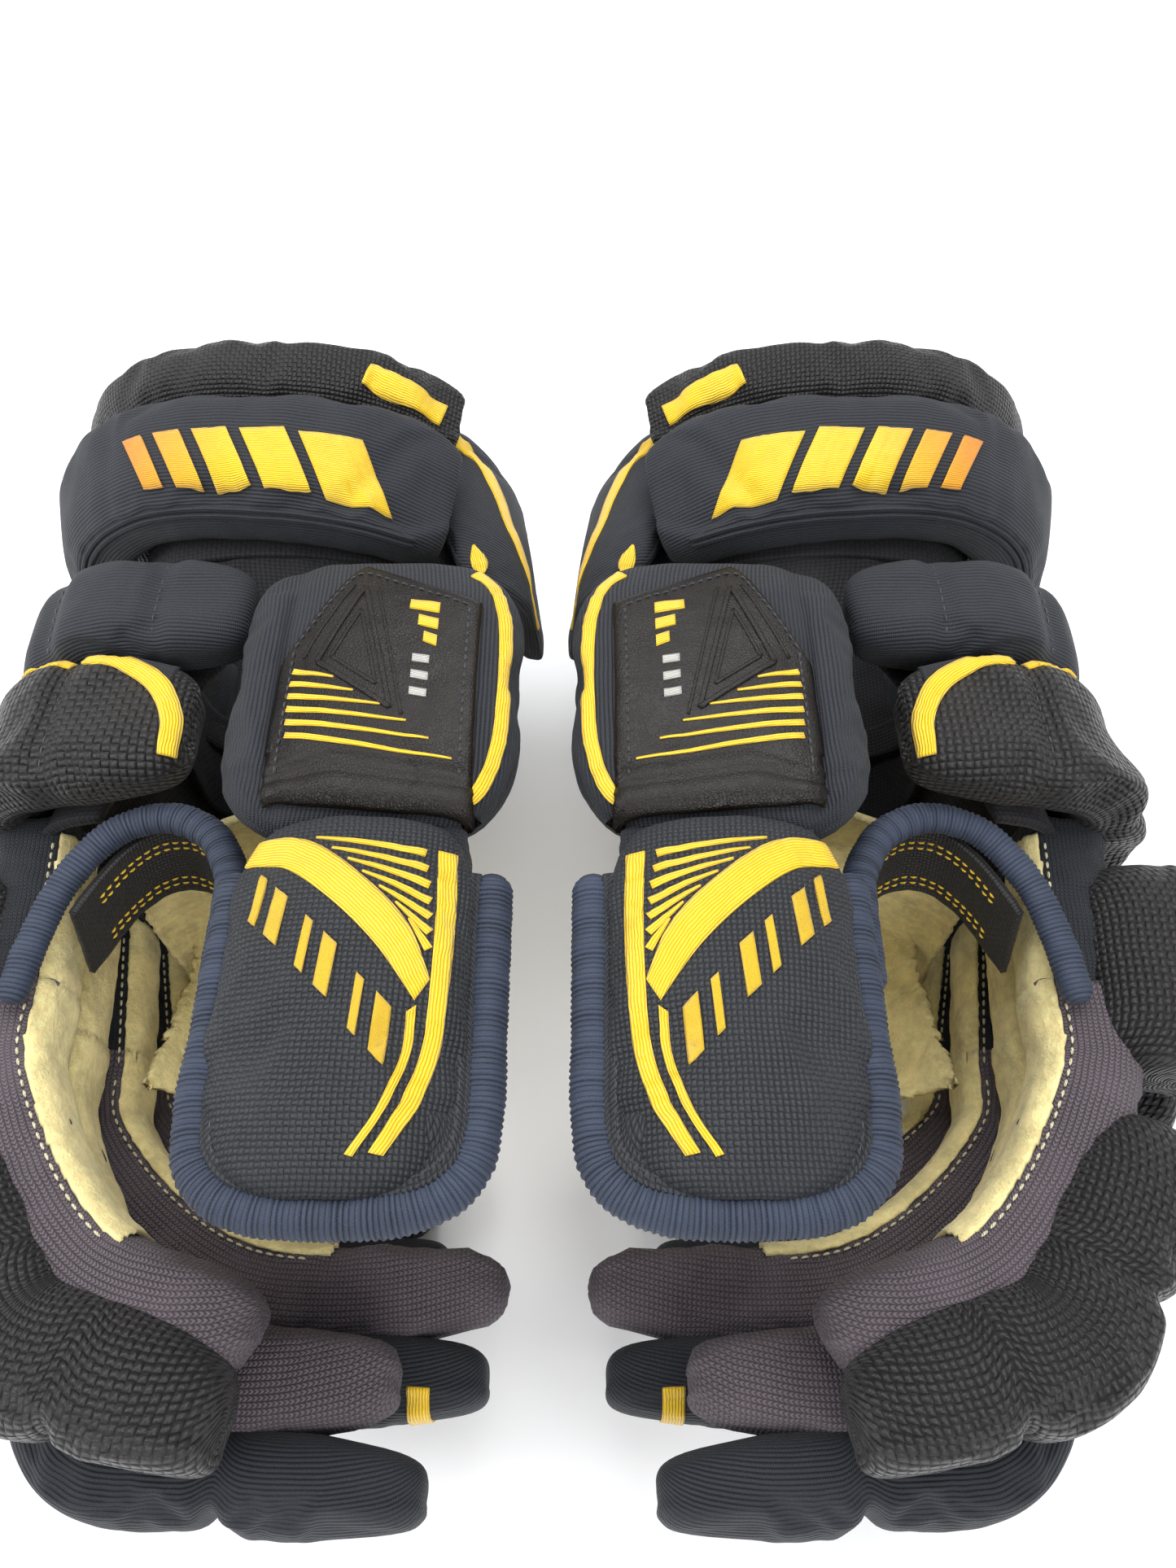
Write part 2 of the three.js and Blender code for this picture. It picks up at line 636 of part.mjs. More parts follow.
// ---- Assembly -----------------------------------------------------------------------------------
const PIECES = [
  ["back_liner", backLiner(), LINING],
  ["back_roll_upper", backRollUpper(), NAVY],
  ["back_roll_lower", backRollLower(), BLACK_MESH],
  ["palm", palm(), SUEDE],
  ["web_gusset", webGusset(), BLACK_MESH],
  ["thumb_base_roll", thumbBaseRoll(), NAVY],
  ["label_patch", labelPatch(), MOULDED],
  ["thumb_pad", thumbPad(), NAVY],
  ["thumb_plate", thumbPlate(), PLASTIC],
  ["thumb_sleeve", thumbSleeve(), GUSSET],
  ["thumb_binding", thumbBinding(), RIBBON],
  ["cuff_roll", cuffRoll(), NAVY],
  ["cuff_end_roll", cuffEndRoll(), BLACK_MESH],
  ["cuff_flap", cuffFlap(), NAVY],
];
for (const [finger, shape] of Object.entries(FINGERS)) {
  const bones = skeleton(shape);
  PIECES.push(
    [`${finger}_base_roll`, baseRoll(bones), BLACK_MESH],
    [`${finger}_base_sleeve`, baseSleeve(bones), GUSSET],
    [`${finger}_tip_roll`, tipRoll(bones), BLACK_MESH],
    [`${finger}_tip_sleeve`, tipSleeve(bones), GUSSET],
  );
}

function glove(side, mirror) {
  const group = new THREE.Group();
  for (const [name, geometry, material] of PIECES) {
    const mesh = new THREE.Mesh(geometry, material);
    mesh.name = `${side}_${name}`;
    group.add(mesh);
  }
  group.scale.x = mirror;
  return group;
}

const pair = new THREE.Group();
pair.add(glove("left", 1), glove("right", -1));

// The origin is the middle of the surface that the pair stands on.
const bounds = new THREE.Box3().setFromObject(pair);
pair.children.forEach((hand) => hand.position.set(0, -(bounds.min.y + bounds.max.y) / 2, -bounds.min.z));

export default pair;
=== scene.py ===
import json
import math

import bpy
import numpy as np
from mathutils import Matrix, Vector, noise
from mathutils.bvhtree import BVHTree


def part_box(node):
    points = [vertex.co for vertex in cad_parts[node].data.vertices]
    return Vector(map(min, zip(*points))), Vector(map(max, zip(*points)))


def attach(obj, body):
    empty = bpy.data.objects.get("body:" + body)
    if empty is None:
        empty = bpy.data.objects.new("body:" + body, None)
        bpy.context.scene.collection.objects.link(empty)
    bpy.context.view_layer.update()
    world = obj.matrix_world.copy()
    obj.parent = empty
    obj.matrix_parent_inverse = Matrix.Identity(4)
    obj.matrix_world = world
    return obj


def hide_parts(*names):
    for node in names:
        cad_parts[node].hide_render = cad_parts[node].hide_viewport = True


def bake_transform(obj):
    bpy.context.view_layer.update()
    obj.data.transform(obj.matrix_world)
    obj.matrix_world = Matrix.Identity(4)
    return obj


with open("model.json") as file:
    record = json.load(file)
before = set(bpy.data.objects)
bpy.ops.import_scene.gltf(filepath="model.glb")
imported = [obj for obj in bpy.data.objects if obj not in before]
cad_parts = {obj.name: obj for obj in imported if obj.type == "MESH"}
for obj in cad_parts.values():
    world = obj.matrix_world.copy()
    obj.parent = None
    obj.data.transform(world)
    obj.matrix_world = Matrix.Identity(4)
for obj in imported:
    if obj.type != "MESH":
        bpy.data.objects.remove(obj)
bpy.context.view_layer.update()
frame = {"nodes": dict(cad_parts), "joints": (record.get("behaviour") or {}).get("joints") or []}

bl_info = {
    "name": "Ice hockey gloves",
    "version": (1, 0, 0),
    "blender": (4, 5, 0),
    "location": "3D View > Sidebar > Gloves",
    "description": "Builds a pair of padded ice hockey gloves round their packed frame",
    "category": "Object",
}

# All shapes are worked out in millimetres on the left glove, in the drawing's own place, and are then
# moved into the frame. The right glove is the left one mirrored in X = 0.
MM = 0.001
WRIST_Y = 92.0
SHIFT_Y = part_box("left_back_liner")[1].y / MM - WRIST_Y
JOINTS = {joint["name"]: joint for joint in frame["joints"]}
SIDES = {"left": 1.0, "right": -1.0}
UV_NAME = "cloth_mm"
UP = np.array([0.0, 0.0, 1.0])
ALONG = np.array([0.0, 1.0, 0.0])
ACROSS = np.array([1.0, 0.0, 0.0])

# The hand, as the plain solids have it.
HAND_TOP = 119.0
KNUCKLE_X, BACK_X, HEEL_X = 150.0, 138.0, 86.0
LINER_FRONT_Y, BACK_BEND_Y = 12.0, 54.0
PALM_FRONT_X, PALM_FRONT_Y, PALM_FOOT, PALM_TOP = 126.0, 6.0, 4.5, 131.0
WEB_TOP = HAND_TOP + 0.5
SLEEVE_HALF_WIDTH, SLEEVE_HALF_DEPTH, ROLL_THICK, FIT = 12.9, 12.5, 20.0, 0.6
# For each finger: how far each bone is bent, in degrees, and how long it is.
FINGERS = {
    "index": ((6, 35, 72), (58, 56, 42)),
    "middle": ((6, 38, 84), (62, 71, 67)),
    "ring": ((10, 50, 88), (58, 60, 74)),
    "little": ((14, 58, 95), (50, 46, 52)),
}
# The thumb pad's middle line, its half width, and the height of its underside.
THUMB_X, THUMB_START, THUMB_END = 43.0, -13.0, -95.0
THUMB_HALF = 25.5
PAD_FOOT = 140.0
BINDING_RADIUS = 4.6
# Marks are drawn at this height and then fall on the pads.
OVERHEAD = 160.0
CLOTH_FRAMES = 18


# ---- Curves and surfaces ------------------------------------------------------------------------
def unit(a):
    """Vectors of length one."""
    return a / np.maximum(np.linalg.norm(a, axis=-1, keepdims=True), 1e-9)


def ease(value, low, high):
    """A smooth rise from 0 at low to 1 at high."""
    t = np.clip((value - low) / (high - low), 0, 1)
    return t * t * (3 - 2 * t)


class Path:
    """A smooth line through points, with places given as shares of its length."""

    def __init__(self, points, straight=False):
        p = np.array(points, float)
        if straight or len(p) == 2:
            self.line = p
        else:
            p = np.vstack([2 * p[0] - p[1], p, 2 * p[-1] - p[-2]])
            line = []
            t = np.linspace(0, 1, 40, endpoint=False)[:, None]
            for i in range(1, len(p) - 2):
                a, b, c, d = p[i - 1 : i + 3]
                k = [max(np.linalg.norm(n - m) ** 0.5, 1e-4) for m, n in ((a, b), (b, c), (c, d))]
                left = ((b - a) / k[0] - (c - a) / (k[0] + k[1]) + (c - b) / k[1]) * k[1]
                right = ((c - b) / k[1] - (d - b) / (k[1] + k[2]) + (d - c) / k[2]) * k[1]
                third = 2 * b - 2 * c + left + right
                line.append(b + left * t + (3 * c - 3 * b - 2 * left - right) * t**2 + third * t**3)
            self.line = np.vstack(line + [p[-2][None]])
        steps = np.linalg.norm(np.diff(self.line, axis=0), axis=1)
        self.distance = np.concatenate([[0], np.cumsum(steps)])
        self.length = self.distance[-1]

    def at(self, u):
        s = np.asarray(u, float) * self.length
        return np.stack([np.interp(s, self.distance, self.line[:, k]) for k in range(3)], -1)

    def tangent(self, u):
        h = 1.5 / self.length
        return unit(self.at(np.minimum(u + h, 1)) - self.at(np.maximum(u - h, 0)))


def even(line, count):
    """A line of points, spread evenly."""
    return Path(line, straight=True).at(np.linspace(0, 1, count))


def smooth(points, count):
    """A smooth line through points, as evenly spread points."""
    return Path(points).at(np.linspace(0, 1, count))


def on_top(points):
    """A level line above the gloves, from (x, y) places."""
    return np.array([(x, y, OVERHEAD) for x, y in points], float)


class Roll:
    """A stuffed roll along a path. Seen in section, v runs from the middle of its inner face, round."""

    def __init__(
        self, path, out, half, above, below, power=3.0, ends=5.0, lean=None, seams=(), open_ends=False
    ):
        self.path = Path(path)
        self.out, self.half, self.above, self.below = out, half, above, below
        self.power, self.lean, self.seams = power, lean, seams
        self.start, self.ends = ends if isinstance(ends, tuple) else (ends, ends)
        self.open_ends = open_ends

    def shrink(self, u):
        """How wide the roll is at u, as a share: its ends are rounded."""
        ends = np.where(u < 0.5, self.start, self.ends)
        closed = (1 - np.abs(2 * u - 1) ** ends) ** (1 / ends)
        if self.open_ends == "start":
            return np.where(u < 0.5, 1.0, closed)
        return np.ones_like(u) if self.open_ends else closed

    def frame(self, u):
        """The middle of the roll at u, with the ways across it and out of it."""
        tangent = self.path.tangent(u)
        out = self.out(tangent, u)
        out = unit(out - (out * tangent).sum(-1, keepdims=True) * tangent)
        across = unit(np.cross(tangent, out)) if self.lean is None else self.lean(u, tangent)
        return self.path.at(u), across, out

    def at(self, u, v, lift=0.0):
        u, v = np.broadcast_arrays(np.asarray(u, float), np.asarray(v, float))
        middle, across, out = self.frame(u)
        angle = 2 * np.pi * v - np.pi / 2
        shrink = self.shrink(np.clip(u, 1e-5, 1 - 1e-5))
        bend = lambda x: np.sign(x) * np.abs(x) ** (2 / self.power)
        a = bend(np.cos(angle)) * (self.half * shrink + lift)
        through = bend(np.sin(angle))
        depth = np.where(through > 0, self.above, self.below) * shrink + lift
        outer = ease(through, -0.3, 0.4)
        for kind, where, deep, wide in self.seams:
            if kind == "u":
                apart = np.abs(u - where) * self.path.length
            else:
                apart = np.abs(a - where * self.half)
            depth = depth - deep * np.exp(-((apart / wide) ** 1.2)) * outer
            if kind == "u":
                a = a * (1 - 0.25 * deep / self.half * np.exp(-((apart / wide) ** 1.2)))
        return middle + across * a[..., None] + out * (through * depth)[..., None]

    def normal(self, u, v):
        """The outward direction at a place in the surface."""
        h, k = 1.0 / self.path.length, 0.004
        du = self.at(np.minimum(u + h, 0.999), v) - self.at(np.maximum(u - h, 0.001), v)
        dv = self.at(u, v + k) - self.at(u, v - k)
        normal = unit(np.cross(dv, du))
        outward = self.at(u, v) - self.path.at(u)
        return normal * np.where((normal * outward).sum(-1, keepdims=True) < 0, -1.0, 1.0)

    def form(self, step=2.0):
        """The roll as a closed mesh with faces of about one step."""
        if self.open_ends is True:
            u = np.linspace(0, 1, max(4, int(self.path.length / step)))
        else:
            s = np.linspace(0.12, 0.93, 8)
            close = 0.5 * (1 - (1 - s**self.ends) ** (1 / self.ends))
            count = max(4, int(self.path.length * (1 - 2 * close[-1]) / step))
            u = np.concatenate([close[:-1], np.linspace(close[-1], 1 - close[-1], count), 1 - close[-2::-1]])
        ring = 4 * self.half + 2 * (self.above + self.below)
        sides = max(16, int(ring / step))
        v = (np.arange(sides) + 0.5) / sides
        grid = self.at(u[:, None], v[None, :])
        uv = grid_uv(grid, True)
        return Form.grid(grid, uv, True, (self.path.at(0.0), self.path.at(1.0)))


def grid_uv(grid, closed):
    """Cloth coordinates in millimetres: round each ring from its middle, and along the middle line."""
    ring = np.concatenate([grid, grid[:, :1]], 1) if closed else grid
    around = np.cumsum(np.linalg.norm(np.diff(ring, axis=1), axis=2), 1)
    around = np.concatenate([np.zeros((len(grid), 1)), around], 1)
    around -= around[:, -1:] / 2
    middle = grid[:, grid.shape[1] // 2]
    along = np.concatenate([[0], np.cumsum(np.linalg.norm(np.diff(middle, axis=0), axis=1))])
    return np.stack([around, np.repeat(along[:, None], around.shape[1], 1)], -1)


class Form:
    """Points, faces and cloth coordinates of one piece of the left glove."""

    def __init__(self, points, faces, uv, uv_faces):
        self.points, self.faces, self.uv, self.uv_faces = points, faces, uv, uv_faces
        self.held = None

    @classmethod
    def grid(cls, grid, uv, closed, poles=None):
        rows, columns = grid.shape[:2]
        points, flat = grid.reshape(-1, 3), uv.reshape(-1, 2)
        wide = uv.shape[1]
        faces, uv_faces = [], []
        for i in range(rows - 1):
            for j in range(columns if closed else columns - 1):
                k = (j + 1) % columns
                a, b = i * columns, (i + 1) * columns
                faces.append((a + j, a + k, b + k, b + j))
                c, d = i * wide, (i + 1) * wide
                uv_faces.append((c + j, c + j + 1, d + j + 1, d + j))
        if poles is not None:
            for end, pole in enumerate(poles):
                tip, row = len(points), (rows - 1) * end
                points = np.vstack([points, pole])
                spot = len(flat)
                middle = uv[row].mean(0) + [0, -3 if end == 0 else 3]
                flat = np.vstack([flat, middle])
                for j in range(columns):
                    k = (j + 1) % columns
                    face = (tip, row * columns + k, row * columns + j)
                    place = (spot, row * wide + j + 1, row * wide + j)
                    faces.append(face if end == 0 else face[::-1])
                    uv_faces.append(place if end == 0 else place[::-1])
        return cls(points, faces, flat, uv_faces)

    @classmethod
    def joined(cls, forms):
        points, faces, uv, uv_faces, n, m = [], [], [], [], 0, 0
        for form in forms:
            points.append(form.points)
            uv.append(form.uv)
            faces += [tuple(n + i for i in face) for face in form.faces]
            uv_faces += [tuple(m + i for i in face) for face in form.uv_faces]
            n, m = n + len(form.points), m + len(form.uv)
        return cls(np.vstack(points), faces, np.vstack(uv), uv_faces)

    def outwards(self):
        """Turns the faces so that they look out of a closed piece."""
        volume = 0.0
        for face in self.faces:
            a = self.points[face[0]]
            for i in range(1, len(face) - 1):
                volume += np.dot(a, np.cross(self.points[face[i]], self.points[face[i + 1]]))
        if volume < 0:
            self.faces = [face[::-1] for face in self.faces]
            self.uv_faces = [face[::-1] for face in self.uv_faces]
        return self

    def tree(self):
        return BVHTree.FromPolygons([tuple(p) for p in self.points], self.faces)

    def crumpled(self, amount, size, seed, stretch=(1, 1, 1)):
        """Small folds in the cloth."""
        offset = Vector((seed * 7.3, seed * 3.1, seed * 11.7))
        normals = self.normals()
        scale = Vector(stretch) / size
        for i, point in enumerate(self.points):
            spot = Vector((point[0] * scale.x, point[1] * scale.y, point[2] * scale.z)) + offset
            wave = noise.noise(spot) + 0.5 * noise.noise(spot * 2.3)
            self.points[i] = point + normals[i] * wave * amount
        return self

    def normals(self):
        """Point normals."""
        out = np.zeros_like(self.points)
        for n in (3, 4):
            faces = np.array([face for face in self.faces if len(face) == n], int)
            if len(faces):
                p = self.points[faces]
                face_normal = np.cross(p[:, 1] - p[:, 0], p[:, 2] - p[:, 0])
                if n == 4:
                    face_normal = np.cross(p[:, 2] - p[:, 0], p[:, 3] - p[:, 1])
                for k in range(n):
                    np.add.at(out, faces[:, k], face_normal)
        return unit(out)


def shell(surface, across, down, thick, ragged=0.0, seed=1):
    """A closed thin sheet: surface(u, v) is its outer face, and the cloth lies behind it."""
    u, v = np.meshgrid(np.linspace(0, 1, across), np.linspace(0, 1, down))
    if ragged:
        edge = np.minimum.reduce([u, 1 - u, v, 1 - v])
        wave = [noise.noise(Vector((x * 31 + seed, y * 31, seed))) for x, y in zip(u.flat, v.flat)]
        fade = np.exp(-edge / 0.04) * np.array(wave).reshape(u.shape) * ragged
        u, v = u + fade * np.sign(0.5 - u) * -1, v + fade * np.sign(0.5 - v) * -1
    outer = surface(u, v)
    du = np.gradient(outer, axis=1)
    dv = np.gradient(outer, axis=0)
    inner = outer - unit(np.cross(du, dv)) * thick
    rows, columns = outer.shape[:2]
    points = np.vstack([outer.reshape(-1, 3), inner.reshape(-1, 3)])
    layer = rows * columns
    faces = []
    for i in range(rows - 1):
        for j in range(columns - 1):
            a = i * columns + j
            faces.append((a, a + 1, a + columns + 1, a + columns))
            b = a + layer
            faces.append((b, b + columns, b + columns + 1, b + 1))
    last = (rows - 1) * columns
    rim = list(range(columns - 1)) + [i * columns + columns - 1 for i in range(rows - 1)]
    rim += [last + j for j in range(columns - 1, 0, -1)] + [i * columns for i in range(rows - 1, 0, -1)]
    for k, a in enumerate(rim):
        b = rim[(k + 1) % len(rim)]
        faces.append((a, a + layer, b + layer, b))
    flat = grid_uv(outer, False).reshape(-1, 2)
    return Form(points, faces, np.vstack([flat, flat]), list(faces)).outwards()


def tube(line, radius, sides, rib=0.0, pitch=1.3, squash=1.0):
    """A piping along a line, with ribs round it if rib is above 0."""
    path = Path(line)
    count = int(path.length / (pitch / 4 if rib else 1.2)) + 2
    u = np.linspace(0, 1, count)
    middle, tangent = path.at(u), path.tangent(u)
    side = np.zeros_like(middle)
    side[0] = unit(np.cross(tangent[0], UP if abs(tangent[0][2]) < 0.9 else ACROSS))
    for i in range(1, count):
        side[i] = unit(side[i - 1] - np.dot(side[i - 1], tangent[i]) * tangent[i])
    up = np.cross(side, tangent)
    angle = 2 * np.pi * np.arange(sides) / sides
    swell = 1 + rib * np.cos(2 * np.pi * u * path.length / pitch)
    edge = np.clip(np.minimum(u, 1 - u) * path.length / radius, 0, 1)
    swell = swell * np.sqrt(np.clip(1 - (1 - edge) ** 2, 0.02, 1))
    r = (radius * swell)[:, None, None]
    grid = middle[:, None] + r * (
        np.cos(angle)[None, :, None] * side[:, None] + squash * np.sin(angle)[None, :, None] * up[:, None]
    )
    return Form.grid(grid, grid_uv(grid, True), True, (middle[0], middle[-1])).outwards()


def drape(tree, points, toward, reach=40.0):
    """Where a line or a grid of points falls on a piece, coming from toward, and the normals there."""
    shape = points.shape
    points = points.reshape(-1, 3)
    toward = unit(np.broadcast_to(toward, shape).reshape(-1, 3))
    found, normals = np.empty_like(points), np.empty_like(points)
    for i, (p, d) in enumerate(zip(points, toward)):
        hit, normal, _, _ = tree.ray_cast(Vector(p + d * reach), Vector(-d), 2.5 * reach)
        if hit is None:
            hit, normal, _, _ = tree.find_nearest(Vector(p))
        found[i] = hit
        normals[i] = normal if np.dot(normal, d) > 0 else -np.array(normal)
    return found.reshape(shape), unit(normals.reshape(shape))


def band(tree, left, right, toward, lift=0.5, columns=5):
    """A tape or a flat mark between two lines, laid on a piece."""
    share = np.linspace(0, 1, columns)[None, :, None]
    grid = left[:, None] * (1 - share) + right[:, None] * share
    direction = np.broadcast_to(toward, left.shape)[:, None] * np.ones((1, columns, 1))
    top, normal = drape(tree, grid, direction)
    if len(normal) > 4:
        normal = unit(normal + np.roll(normal, 1, 0) * 0.5 + np.roll(normal, -1, 0) * 0.5)
    raised = top + normal * lift
    foot = top - normal * 0.5
    rows = len(left)
    grid = np.concatenate([foot[:, :1], raised, foot[:, -1:]], 1)
    columns = columns + 2
    uv = grid_uv(grid, False)
    form = Form.grid(grid, uv, False)
    faces, uv_faces = form.faces, form.uv_faces
    for i in range(rows - 1):
        a, b = i * columns, i * columns + columns - 1
        quad = (a, a + columns, b + columns, b)
        faces.append(quad)
        uv_faces.append(quad)
    start = tuple(range(columns))
    end = tuple((rows - 1) * columns + j for j in range(columns))[::-1]
    faces += [start[::-1], end[::-1]]
    uv_faces += [start[::-1], end[::-1]]
    return form.outwards()


def offset_line(line, amount, toward):
    """The line moved sideways, for the second edge of a tape."""
    along = unit(np.gradient(line, axis=0))
    return line + unit(np.cross(np.broadcast_to(toward, line.shape), along)) * np.reshape(amount, (-1, 1))


def strip(tree, line, width, toward, lift=0.5, columns=5):
    """A tape along a line, of one width or of a width for each point."""
    left, right = offset_line(line, -width / 2, toward), offset_line(line, width / 2, toward)
    return band(tree, left, right, toward, lift, columns)


def straight_strip(tree, ends, width, lift, count, columns):
    """A straight tape on top of a piece, between two (x, y) places."""
    return strip(tree, even(on_top(ends), count), width, UP, lift, columns)


def bar(tree, corners, lift=0.35, count=6, columns=4):
    """A flat mark with four (x, y) corners, sewn on top of a piece."""
    a, b, c, d = on_top(corners)
    share = np.linspace(0, 1, count)[:, None]
    return band(tree, a * (1 - share) + b * share, d * (1 - share) + c * share, UP, lift, columns)


def stitches(tree, points, toward, pitch=3.2, length=2.2, radius=0.34, sink=0.1):
    """A row of thread stitches along a line on a piece."""
    path = Path(points)
    count = max(1, int(path.length / pitch))
    u = (np.arange(count) + 0.5) / count
    middle, along = path.at(u), path.tangent(u)
    if tree is not None:
        direction = np.broadcast_to(toward, middle.shape)
        found, normal = drape(tree, middle, direction)
    else:
        found, normal = middle, unit(np.broadcast_to(toward, middle.shape))
    along = unit(along - (along * normal).sum(-1, keepdims=True) * normal)
    side = np.cross(normal, along)
    found = found + normal * (radius - sink)
    profile = ((-1, 0.25), (-0.6, 0.85), (0, 1.0), (0.6, 0.85), (1, 0.25))
    angle = 2 * np.pi * np.arange(6) / 6
    points, faces, n = [], [], 0
    for i in range(count):
        for s, r in profile:
            dip = -(abs(s) ** 3) * radius * 0.8
            centre = found[i] + along[i] * s * length / 2 + normal[i] * dip
            for t in angle:
                points.append(centre + radius * r * (math.cos(t) * side[i] + math.sin(t) * normal[i]))
        for ring in range(len(profile) - 1):
            for j in range(6):
                k = (j + 1) % 6
                a, b = n + ring * 6, n + ring * 6 + 6
                faces.append((a + j, a + k, b + k, b + j))
        faces.append(tuple(range(n + 5, n - 1, -1)))
        faces.append(tuple(range(n + 24, n + 30)))
        n += 30
    points = np.array(points)
    return Form(points, faces, points[:, :2].copy(), list(faces)).outwards()


def left_mesh(name, form, material):
    """The mesh of a piece on the left glove."""
    mesh = bpy.data.meshes.new(name)
    placed = form.points.copy()
    placed[:, 1] += SHIFT_Y
    mesh.from_pydata((placed * MM).tolist(), [], [list(face) for face in form.faces])
    layer = mesh.uv_layers.new(name=UV_NAME)
    spots = np.concatenate([np.asarray(form.uv_faces[i]) for i in range(len(form.uv_faces))])
    layer.data.foreach_set("uv", form.uv[spots].astype(np.float32).ravel())
    mesh.polygons.foreach_set("use_smooth", [True] * len(mesh.polygons))
    mesh.materials.append(material)
    mesh.update()
    return mesh


def fit(name, form, material, body, replaces=(), blend=None, smoothing=0):
    """Makes a piece on both gloves. blend is (other body, start, end) for cloth that crosses a joint, but
    only whether it is given is read: such a piece is left where it is and not attached to a body.
    """
    mesh = left_mesh(f"left_glove_{name}", form, FINISHES[material])
    for side, sign in SIDES.items():
        if sign < 0:
            mesh = mesh.copy()
            mesh.name = f"{side}_glove_{name}"
            mesh.transform(Matrix.Scale(-1, 4, Vector((1, 0, 0))))
            mesh.flip_normals()
        piece = bpy.data.objects.new(f"{side}_glove_{name}", mesh)
        bpy.context.scene.collection.objects.link(piece)
        if blend:
            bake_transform(piece)
        else:
            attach(piece, f"{side}_{body}")
        if smoothing:
            modifier = piece.modifiers.new("smoothing", "SUBSURF")
            modifier.levels = modifier.render_levels = smoothing
        if replaces:
            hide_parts(*[f"{side}_{node}" for node in replaces])


def pad(name, material, body):
    """Fits a stuffed pad in the place of its plain solid."""
    fit(name, FORMS[name], material, body, [name], smoothing=1)


# ---- Finishes -----------------------------------------------------------------------------------
FINISHES = {}
CLOTH_SHEEN = 0.06


class Finish:
    """A material that is put together from its cloth coordinates."""

    def __init__(self, name, roughness, sheen=0.0, specular=0.3, coat=0.0):
        self.material = FINISHES[name] = bpy.data.materials.new(name)
        self.material.use_nodes = True
        self.tree = self.material.node_tree
        self.tree.nodes.clear()
        output = self.tree.nodes.new("ShaderNodeOutputMaterial")
        self.shader = self.tree.nodes.new("ShaderNodeBsdfPrincipled")
        self.tree.links.new(self.shader.outputs[0], output.inputs[0])
        self.shader.inputs["Roughness"].default_value = roughness
        self.shader.inputs["Sheen Weight"].default_value = sheen
        self.shader.inputs["Sheen Roughness"].default_value = 0.45
        self.shader.inputs["Specular IOR Level"].default_value = specular
        self.shader.inputs["Coat Weight"].default_value = coat
        self.shader.inputs["Coat Roughness"].default_value = 0.35
        uv = self.tree.nodes.new("ShaderNodeUVMap")
        uv.uv_map = UV_NAME
        split = self.tree.nodes.new("ShaderNodeSeparateXYZ")
        self.tree.links.new(uv.outputs[0], split.inputs[0])
        self.u, self.v = split.outputs[0], split.outputs[1]
        self.place = self.tree.nodes.new("ShaderNodeTexCoord").outputs["Object"]

    def put(self, socket, value):
        if isinstance(value, (int, float, tuple)):
            socket.default_value = value
        else:
            self.tree.links.new(value, socket)

    def math(self, kind, a, b=0.5):
        node = self.tree.nodes.new("ShaderNodeMath")
        node.operation = kind
        self.put(node.inputs[0], a)
        self.put(node.inputs[1], b)
        return node.outputs[0]

    def times(self, a, b):
        return self.math("MULTIPLY", a, b)

    def plus(self, a, b):
        return self.math("ADD", a, b)

    def less(self, a, b):
        return self.math("SUBTRACT", a, b)

    def over(self, a, b):
        return self.math("DIVIDE", a, b)

    def power(self, a, b):
        return self.math("POWER", a, b)

    def wave(self, value):
        return self.math("ABSOLUTE", self.math("SINE", self.times(value, math.pi)))

    def noise(self, size_mm, detail=3.0, roughness=0.55):
        node = self.tree.nodes.new("ShaderNodeTexNoise")
        self.put(node.inputs["Vector"], self.place)
        node.inputs["Scale"].default_value = 1000.0 / size_mm
        node.inputs["Detail"].default_value = detail
        node.inputs["Roughness"].default_value = roughness
        return node.outputs["Fac"]

    def cells(self, size_mm):
        node = self.tree.nodes.new("ShaderNodeTexVoronoi")
        node.feature = "DISTANCE_TO_EDGE"
        self.put(node.inputs["Vector"], self.place)
        node.inputs["Scale"].default_value = 1000.0 / size_mm
        return node.outputs["Distance"]

    def range(self, value, low, high, to_low=0.0, to_high=1.0):
        node = self.tree.nodes.new("ShaderNodeMapRange")
        self.put(node.inputs["Value"], value)
        for socket, number in zip(("From Min", "From Max", "To Min", "To Max"), (low, high, to_low, to_high)):
            node.inputs[socket].default_value = number
        return node.outputs[0]

    def mix(self, share, first, second):
        node = self.tree.nodes.new("ShaderNodeMix")
        node.data_type = "RGBA"
        colours = [socket for socket in node.inputs if socket.type == "RGBA"]
        self.put(node.inputs[0], share)
        self.put(colours[0], first)
        self.put(colours[1], second)
        return [socket for socket in node.outputs if socket.type == "RGBA"][0]

    def blend_numbers(self, share, first, second):
        keep = self.times(self.less(1.0, share), first)
        return self.plus(keep, self.times(share, second))

    def finish(self, colour, height, depth_mm, roughness=None):
        self.put(self.shader.inputs["Base Color"], colour)
        if roughness is not None:
            self.put(self.shader.inputs["Roughness"], roughness)
        bump = self.tree.nodes.new("ShaderNodeBump")
        bump.inputs["Strength"].default_value = 1.0
        bump.inputs["Distance"].default_value = depth_mm * MM
        self.put(bump.inputs["Height"], height)
        self.tree.links.new(bump.outputs[0], self.shader.inputs["Normal"])
        return self.material


def shade(colour, factor):
    """A lighter or darker colour."""
    return tuple(min(1.0, c * factor) for c in colour[:3]) + (1.0,)


